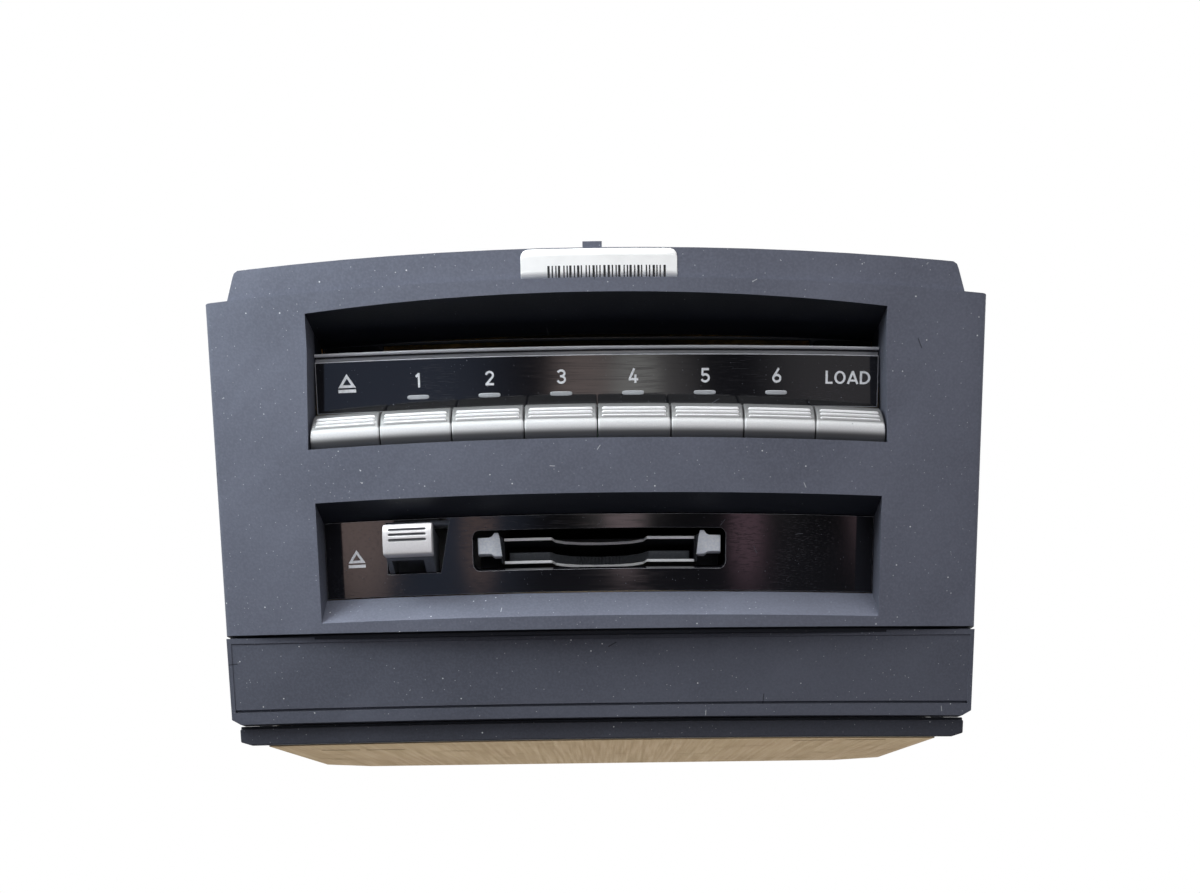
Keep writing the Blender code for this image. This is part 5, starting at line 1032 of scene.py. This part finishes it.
def keys(sizes):
    """Eight keys in a row: one rounded profile carried across each, the outer ends following the flare of
    the opening."""
    names = ["key_eject", *(f"key_{index}" for index in range(1, 7)), "key_load"]
    foot, top, flare, gap, deep = 0.0784, 0.0890, 0.0011, 0.00015, 0.0130
    ribs = [(0.0078, 0.0009), (0.0094, 0.0009), (0.0110, 0.0009)]

    def side_wall(z):
        return OPENING_HALF + flare * np.clip((top - z) / (top - foot), 0, 1)

    for index, node in enumerate(names):
        middle = (index - 3.5) * KEY_PITCH
        half = KEY_PITCH / 2 - gap

        def left(z):
            return np.full_like(z, middle - half) if index else -side_wall(z)

        def right(z):
            return np.full_like(z, middle + half) if index < len(names) - 1 else side_wall(z)

        obj = roll_button(
            node + "_face", KEY_CURVE, deep, foot, top - foot, (left, right), ribs,
            sizes.key_rib, sizes.key_end, 0.0014,
        )
        place(obj, node, "satin_silver", look("silver"), [node], ROLLED)


# The eject button's hole in the plate: its right side leans by BUTTON_LEAN from its foot to its top.
BUTTON_LEFT, BUTTON_RIGHT, BUTTON_FOOT, BUTTON_TOP = -0.0614, -0.0457, 0.0466, 0.0604
BUTTON_LEAN = 0.0029


def lower_plate(sizes):
    """The glossy plate: a lattice with the card slot's hole, whose corners are made arcs, and the eject
    button's hole, whose right side leans."""
    low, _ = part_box("lower_plate")
    foot, top = low[2], 0.0611
    card = (-0.0363, 0.0363, 0.04665, 0.0574)
    button = (BUTTON_LEFT, BUTTON_RIGHT, BUTTON_FOOT, BUTTON_TOP)
    r, reach, lean_reach = 0.0020, 0.0014, 0.0060
    near = [-reach, -0.0007, 0, 0.0004, 0.0008, 0.0012, 0.0016, r]
    across = [card[0] + value for value in near] + [card[1] - value for value in near]
    across += [button[0] + value for value in (-0.001, 0, 0.001)]
    across += [button[1] + value for value in (-0.001, 0, 0.0015, 0.004)]
    up = [card[2] + value for value in near] + [card[3] - value for value in near]
    up += [button[2], button[3]]
    xs = cuts(sorted({round(value, 6) for value in [-OPENING_HALF, OPENING_HALF, *across]}), 0.003)
    zs = cuts(sorted({round(value, 6) for value in [foot, top, *up]}), 0.002)
    zs = zs[(zs >= foot - 1e-9) & (zs <= top + 1e-9)]

    def shape(x, z):
        tall = np.clip((z - button[2]) / (button[3] - button[2]), 0, 1)
        near_side = np.clip(1 - np.abs(x - button[1]) / lean_reach, 0, 1) * (z < button[3] + 0.0020)
        x = x + (BUTTON_LEAN * tall) * near_side
        for corner_x, way_x in ((card[0], 1), (card[1], -1)):
            for corner_z, way_z in ((card[2], 1), (card[3], -1)):
                x, z = round_corner(x, z, (corner_x, corner_z), (way_x, way_z), r, reach)
        return x, z

    obj = plate("plate_panel", xs, zs, PLATE_DEPTH, [card, button], FULL, shape)
    place(obj, "housing", "gloss_black", [look("gloss"), look("gloss_edge")], ["lower_plate"])
    # The rounded edges take the light edge finish: a painted highlight along them.
    thicken(obj, PANEL_WALL, 0.00028, 1)


def card_parts(sizes):
    """The card guide and the hollow body of the eject button keep their solids' shape with softer edges.
    The guide's ears are an outline carried back. The card door's rows are the square root of one minus
    the square of the distance across, with a comb of cosines in the middle. The button's well is two
    walls carried back, and its cap a profile carried across with three dark grooves."""
    guide = copy_node("card_mouth", "housing", "grey", [look("guide_dark"), look("guide_lip")], FINE_EDGE)
    # The guide's lip fronts take a painted highlight, and the rest of it a painted shade.
    painted_highlight_lips = [
        int(abs(polygon.center[0]) < 0.0275 and polygon.normal[1] < -0.2) for polygon in guide.data.polygons
    ]
    guide.data.polygons.foreach_set("material_index", painted_highlight_lips)
    ear = np.array([
        (0.0349, 0.0514), (0.0349, 0.0558), (0.0316, 0.0559), (0.0308, 0.0562), (0.0301, 0.0571),
        (0.0290, 0.0571), (0.0285, 0.0555), (0.0279, 0.0507), (0.0302, 0.0507), (0.0312, 0.0514),
    ])
    middle = ear.mean(axis=0)
    for tag, side in (("left", -1), ("right", 1)):
        loops = []
        for deep, grow in ((0.0165, 1.0), (0.0136, 1.0), (0.01335, 0.94)):
            grown = middle + (ear - middle) * grow
            loops.append(flat_points(side * grown[:, 0], deep, grown[:, 1])[::side])
        place(loft("guide_ear_" + tag, loops), "housing", "grey", look("guide_grey"))

    door_half, comb_half = 0.0262, 0.0065
    across = np.concatenate([
        cuts([-door_half, -0.0066], 0.002), cuts([-comb_half, comb_half], 0.00025),
        cuts([0.0066, door_half], 0.002),
    ])
    notch = 0.0085 * np.sqrt(np.clip(1 - (across / 0.0137) ** 2, 0, 1)) + 0.0202
    comb = 0.00035 * np.cos(across / 0.00105 * 2 * np.pi) * (np.abs(across) < comb_half)
    rim = notch + 0.0004
    rows = [(rim, 0.0500), (notch - comb, 0.0503), (notch - comb, 0.0525), (rim, 0.0529)]
    door = np.stack([flat_points(across, deep, z) for deep, z in rows])
    door = patchwork("card_door", [(lay(door), None)])
    place(door, "housing", "black", look("card_door"))
    thicken(door, 0.0006)

    tall = np.linspace(0, 1, 9)
    right = BUTTON_RIGHT + BUTTON_LEAN * tall + 0.0006 * np.sin(np.pi * tall)
    walls = []
    for deep in (0.0136, 0.0225):
        side_wall = flat_points(right, deep, BUTTON_FOOT + (BUTTON_TOP - BUTTON_FOOT) * tall)
        roof = flat_points(np.linspace(BUTTON_RIGHT + BUTTON_LEAN, BUTTON_LEFT, 5), deep, BUTTON_TOP)
        walls.append(np.concatenate([side_wall, roof]))
    well = patchwork("button_well", [(lay(np.stack(walls)), None)])
    place(well, "housing", "black", look("well"))
    thicken(well, 0.0006)

    copy_node("eject_body", "eject_button", "black", look("button_body"), 0.00025)
    ends = (lambda z: np.full_like(z, -0.0610), lambda z: np.full_like(z, -0.0469))
    # The grooves are painted dark: painted shade in them.
    grooves = [(0.0044 + 0.00145 * index, 0.0008) for index in range(3)]
    cap = roll_button(
        "eject_cap_face", CAP_CURVE, 0.0042, 0.0498, 0.0086, ends, grooves, -0.0004, 0.0003, 0.0019
    )
    place(cap, "eject_button", "satin_silver", look("cap"), ["eject_cap"], ROLLED)


def carrier(sizes):
    """The frame behind the fascia keeps its solid's shape with softer edges. The label on its rim is a
    sheet whose top falls near each end by a quarter circle, and carries plain bars."""
    copy_node("carrier_frame", "housing", "matt_slate", look("slate_rim"))
    left, right, low, high, depth = -0.0201, 0.0220, 0.1174, 0.1243, 0.0014
    r = sizes.label_corner
    near = np.array([0, 0.08, 0.2, 0.36, 0.6, 1])
    middle = cuts([left + 2 * r, right - 2 * r], 0.003)
    xs = np.concatenate([left + r * near, middle, right - r * near[::-1]])
    past = np.maximum(left + r - xs, 0) + np.maximum(xs - right + r, 0)
    drop = r - np.sqrt(np.maximum(r ** 2 - past ** 2, 0))
    up = np.linspace(0, 1, 5)[:, None]
    sheet = patchwork("rim_label", [(lay(flat_points(xs, depth, low + up * (high - drop - low))), None)])
    place(sheet, "housing", "matt_slate", look("label"))
    thicken(sheet, 0.00009)

    unit, first, bars_low, bars_high = 0.00103, -0.0129, 0.11745, 0.1203
    widths = [0.6, 0.35, 0.35, 0.6, 0.35, 0.35, 0.6, 0.35, 0.6, 0.35, 0.35, 0.35, 0.6, 0.35, 0.35, 0.6]
    gaps = [0.5, 0.6, 0.35, 0.8, 0.5, 0.35, 0.6, 0.5, 0.35, 0.9, 0.5, 0.6, 0.35, 0.5, 0.7, 0.5]
    widths, gaps = np.tile(widths, 2) * unit, np.tile(gaps, 2) * unit
    starts = first + np.concatenate([[0], np.cumsum(widths + gaps)[:-1]])
    bars = []
    for start, width in zip(starts, widths):
        x, z = np.meshgrid([start, start + width], [bars_low, bars_high])
        bars.append((lay(flat_points(x, depth - 0.00002, z)), None))
    marks = patchwork("rim_label_bars", bars)
    place(marks, "housing", "matt_slate", look("label_ink"))


# --- Chassis and inside -------------------------------------------------------------------------


FINISHED = {
    "gold_steel": ("chassis_tray", "top_cover", "front_plate", "bracket_left", "bracket_right"),
    # The card cage is dark with painted shade.
    "dull_steel": ("card_cage",),
    "steel": (
        "screw_left_1", "screw_left_2", "screw_right_1", "screw_right_2", "mech_deck", "motor_pinion",
        "loading_motor", "guide_rail_left", "guide_rail_right", "lead_screw", "sled_motor", "spindle_motor",
    ),
    "alloy": ("heat_sink",),
    "brass": ("roller_gear", "aerial_socket_1", "aerial_socket_2"),
    "dark_plastic": (
        "fan_frame", "fan_rotor", "optical_connector", "disc_guide", "turntable", "card_shelf",
        "card_ejector", "disc_magazine", "laser_sled",
    ),
    "pale_plastic": ("main_connector",),
    "rubber": ("feed_roller",),
    "board": ("main_board", "key_board"),
}

BODY_OF = {node: body for body, nodes in frame["record"]["behaviour"]["bodies"].items() for node in nodes}


def solids(sizes):
    """Each remaining node keeps its solid's shape: a merged copy with softened edges and a finish."""
    slots = {
        "gold_steel": "gold_steel", "dull_steel": "gold_steel", "steel": "steel", "alloy": "alloy",
        "brass": "brass", "rubber": "rubber", "dark_plastic": "black", "pale_plastic": "grey",
        "board": "board_green",
    }
    for finish, nodes in FINISHED.items():
        for node in nodes:
            copy_node(node, BODY_OF[node], slots[finish], look(finish), FINE_EDGE)


# --- Stage --------------------------------------------------------------------------------------


# Dim things in the room that the glossy strip and plate mirror: direction, spread, colour.
PATCHES = (
    ((-0.32, -0.75, -0.58), 0.030, (0.34, 0.42, 0.62)),
    ((0.34, -0.77, -0.55), 0.012, (0.55, 0.53, 0.55)),
    ((0.04, -0.78, -0.62), 0.0070, (0.95, 0.90, 0.90)),
    ((-0.02, -0.79, -0.61), 0.0016, (2.1, 1.7, 1.6)),
    ((0.05, -0.785, -0.61), 0.0010, (2.9, 2.9, 2.8)),
    ((0.05, -0.738, -0.676), 0.0014, (2.3, 1.8, 1.9)),
    ((-0.46, -0.64, -0.61), 0.0045, (2.1, 1.6, 1.5)),
    ((-0.24, -0.70, -0.67), 0.0012, (1.3, 0.95, 0.9)),
    ((0.29, -0.69, -0.66), 0.0012, (1.3, 0.80, 1.0)),
    ((0.53, -0.62, -0.58), 0.0035, (1.1, 0.75, 0.85)),
)


def surroundings():
    """White to the camera. To the object it is soft grey, darker below and in front, with dim patches:
    each is a spot where the direction's product with the patch's own comes near one."""
    world = bpy.data.worlds.new("surroundings")
    bpy.context.scene.world = world
    world.use_nodes = True
    sky = Palette(world.node_tree)
    where = sky.node("ShaderNodeTexCoord", output="Generated")
    y = sky.node("ShaderNodeSeparateXYZ", None, {0: where}, "Y")
    z = sky.node("ShaderNodeSeparateXYZ", None, {0: where}, "Z")
    grade = sky.ramp(y * 0.7 + z, -0.9, 0.9, 0.04, 0.80)
    tone = sky.mix(grade, (0, 0, 0, 1), (0.97, 0.98, 1.0, 1))
    for direction, spread, colour in PATCHES:
        towards = {0: where, 1: tuple(Vector(direction).normalized())}
        near = sky.node("ShaderNodeVectorMath", {"operation": "DOT_PRODUCT"}, towards, "Value")
        tone = sky.mix(sky.ramp(near, 1 - spread, 1 - spread * 0.1), tone, rgba(colour))
    soft = sky.node("ShaderNodeBackground", None, {"Color": tone})
    white = sky.node("ShaderNodeBackground", None, {"Color": (1, 1, 1, 1)})
    seen = sky.node("ShaderNodeLightPath", output="Is Camera Ray")
    mixed = sky.node("ShaderNodeMixShader", None, {0: seen, 1: soft, 2: white})
    sky.node("ShaderNodeOutputWorld", None, {"Surface": mixed})


# Each light's name, place, size, power and colour.
LIGHTS = (
    ("light_front", (0.0, -1.13, 0.84), 1.4, 18.0, (1.0, 1.0, 1.0)),
    ("light_near", (-0.30, -0.38, 0.36), 0.25, 1.0, (1.0, 1.0, 1.0)),
    ("light_corner", (-0.24, -0.22, 0.22), 0.15, 0.76, (0.88, 0.98, 1.0)),
    ("light_fill", (0.35, -1.15, 0.10), 0.9, 1.3, (1.0, 1.0, 1.0)),
    ("light_back", (0.3, 0.95, 0.8), 1.4, 9.0, (1.0, 1.0, 1.0)),
)
LIT_POINT = Vector((0.0, -0.03, 0.06))


def stage():
    """A pale floor that is clear from below, soft lights, white surroundings, and the camera at the
    photograph's angle."""
    scene = bpy.context.scene
    scene.view_settings.view_transform = "Standard"
    reach = [-3.0, 3.0]
    x, y = np.meshgrid(reach, reach)
    floor = patchwork("floor", [(flat_points(x, y, 0.0), None)])
    paint = Paint("floor_paint")
    pale = {"Base Color": (0.86, 0.86, 0.86, 1), "Roughness": 0.9}
    shader = paint.node("ShaderNodeBsdfPrincipled", None, pale)
    clear = paint.node("ShaderNodeBsdfTransparent")
    behind = paint.node("ShaderNodeNewGeometry", output="Backfacing")
    mixed = paint.node("ShaderNodeMixShader", None, {0: behind, 1: shader, 2: clear})
    paint.node("ShaderNodeOutputMaterial", None, {"Surface": mixed})
    floor.data.materials.append(paint.material)
    floor.visible_shadow = False
    floor.visible_glossy = False
    floor.visible_diffuse = False

    surroundings()
    for name, where_at, size, power, tone in LIGHTS:
        data = bpy.data.lights.new(name, "AREA")
        data.shape = "SQUARE"
        data.size = size
        data.energy = power
        data.color = tone
        lamp = bpy.data.objects.new(name, data)
        lamp.location = where_at
        lamp.rotation_euler = (LIT_POINT - Vector(where_at)).to_track_quat("-Z", "Y").to_euler()
        lamp.visible_camera = False
        scene.collection.objects.link(lamp)

    pitch, roll = 90 + 15.06, -0.77
    data = bpy.data.cameras.new("camera")
    data.lens = 45.0
    data.sensor_width = 36.0
    data.clip_start = 0.01
    camera = bpy.data.objects.new("camera", data)
    tilt = Matrix.Rotation(math.radians(pitch), 4, "X") @ Matrix.Rotation(math.radians(roll), 4, "Z")
    camera.matrix_world = Matrix.Translation((0.0006, -0.45426, -0.0313)) @ tilt
    scene.collection.objects.link(camera)
    scene.camera = camera


# --- Operators ----------------------------------------------------------------------------------


class Builder:
    """What the operators share: each one hands its sizes to the functions of its pieces."""

    bl_options = {"REGISTER", "UNDO"}
    makers = ()

    def execute(self, context):
        for maker in self.makers:
            maker(context.scene.radio_sizes)
        return {"FINISHED"}


class RADIO_OT_stage(bpy.types.Operator):
    """Make the floor, the lights and the camera"""

    bl_idname = "radio.stage"
    bl_label = "Stage"

    def execute(self, context):
        stage()
        return {"FINISHED"}


class RADIO_OT_fascia(Builder, bpy.types.Operator):
    """Make the fascia with its two openings"""

    bl_idname = "radio.fascia"
    bl_label = "Fascia"
    makers = (fascia,)


class RADIO_OT_trim(Builder, bpy.types.Operator):
    """Make the panel and the flange under the fascia"""

    bl_idname = "radio.trim"
    bl_label = "Lower trim"
    makers = (trim, flange)


class RADIO_OT_strip(Builder, bpy.types.Operator):
    """Make the glossy strip with its windows and signs"""

    bl_idname = "radio.strip"
    bl_label = "Legend strip"
    makers = (strip, lamps, legends)


class RADIO_OT_pocket(Builder, bpy.types.Operator):
    """Make the disc pocket"""

    bl_idname = "radio.pocket"
    bl_label = "Disc pocket"
    makers = (pocket,)


class RADIO_OT_keys(Builder, bpy.types.Operator):
    """Make the eight keys"""

    bl_idname = "radio.keys"
    bl_label = "Keys"
    makers = (keys,)


class RADIO_OT_card(Builder, bpy.types.Operator):
    """Make the lower plate, the card guide and the eject button"""

    bl_idname = "radio.card"
    bl_label = "Card plate"
    makers = (lower_plate, card_parts)


class RADIO_OT_carrier(Builder, bpy.types.Operator):
    """Make the frame behind the fascia and the label on its rim"""

    bl_idname = "radio.carrier"
    bl_label = "Carrier frame"
    makers = (carrier,)


class RADIO_OT_solids(Builder, bpy.types.Operator):
    """Finish the chassis, the rear parts and the inside"""

    bl_idname = "radio.solids"
    bl_label = "Chassis and inside"
    makers = (solids,)


OPERATORS = (
    RADIO_OT_stage, RADIO_OT_fascia, RADIO_OT_trim, RADIO_OT_strip, RADIO_OT_pocket, RADIO_OT_keys,
    RADIO_OT_card, RADIO_OT_carrier, RADIO_OT_solids,
)


class RADIO_PT_panel(bpy.types.Panel):
    """Lists the operators, the sizes and the colours"""

    bl_idname = "RADIO_PT_panel"
    bl_label = "Car radio"
    bl_space_type = "VIEW_3D"
    bl_region_type = "UI"
    bl_category = "Radio"

    def draw(self, context):
        for operator in OPERATORS:
            self.layout.operator(operator.bl_idname)
        for group in (context.scene.radio_sizes, context.scene.radio_colours):
            for name in group.__annotations__:
                self.layout.prop(group, name)


CLASSES = (RadioSizes, RadioColours, *OPERATORS, RADIO_PT_panel)


def register():
    for kind in CLASSES:
        bpy.utils.register_class(kind)
    bpy.types.Scene.radio_sizes = bpy.props.PointerProperty(type=RadioSizes)
    bpy.types.Scene.radio_colours = bpy.props.PointerProperty(type=RadioColours)


def unregister():
    del bpy.types.Scene.radio_colours
    del bpy.types.Scene.radio_sizes
    for kind in reversed(CLASSES):
        bpy.utils.unregister_class(kind)


def main():
    register()
    bpy.ops.radio.stage()
    bpy.ops.radio.fascia()
    bpy.ops.radio.trim()
    bpy.ops.radio.strip()
    bpy.ops.radio.pocket()
    bpy.ops.radio.keys()
    bpy.ops.radio.card()
    bpy.ops.radio.carrier()
    bpy.ops.radio.solids()


if __name__ == "__main__":
    main()
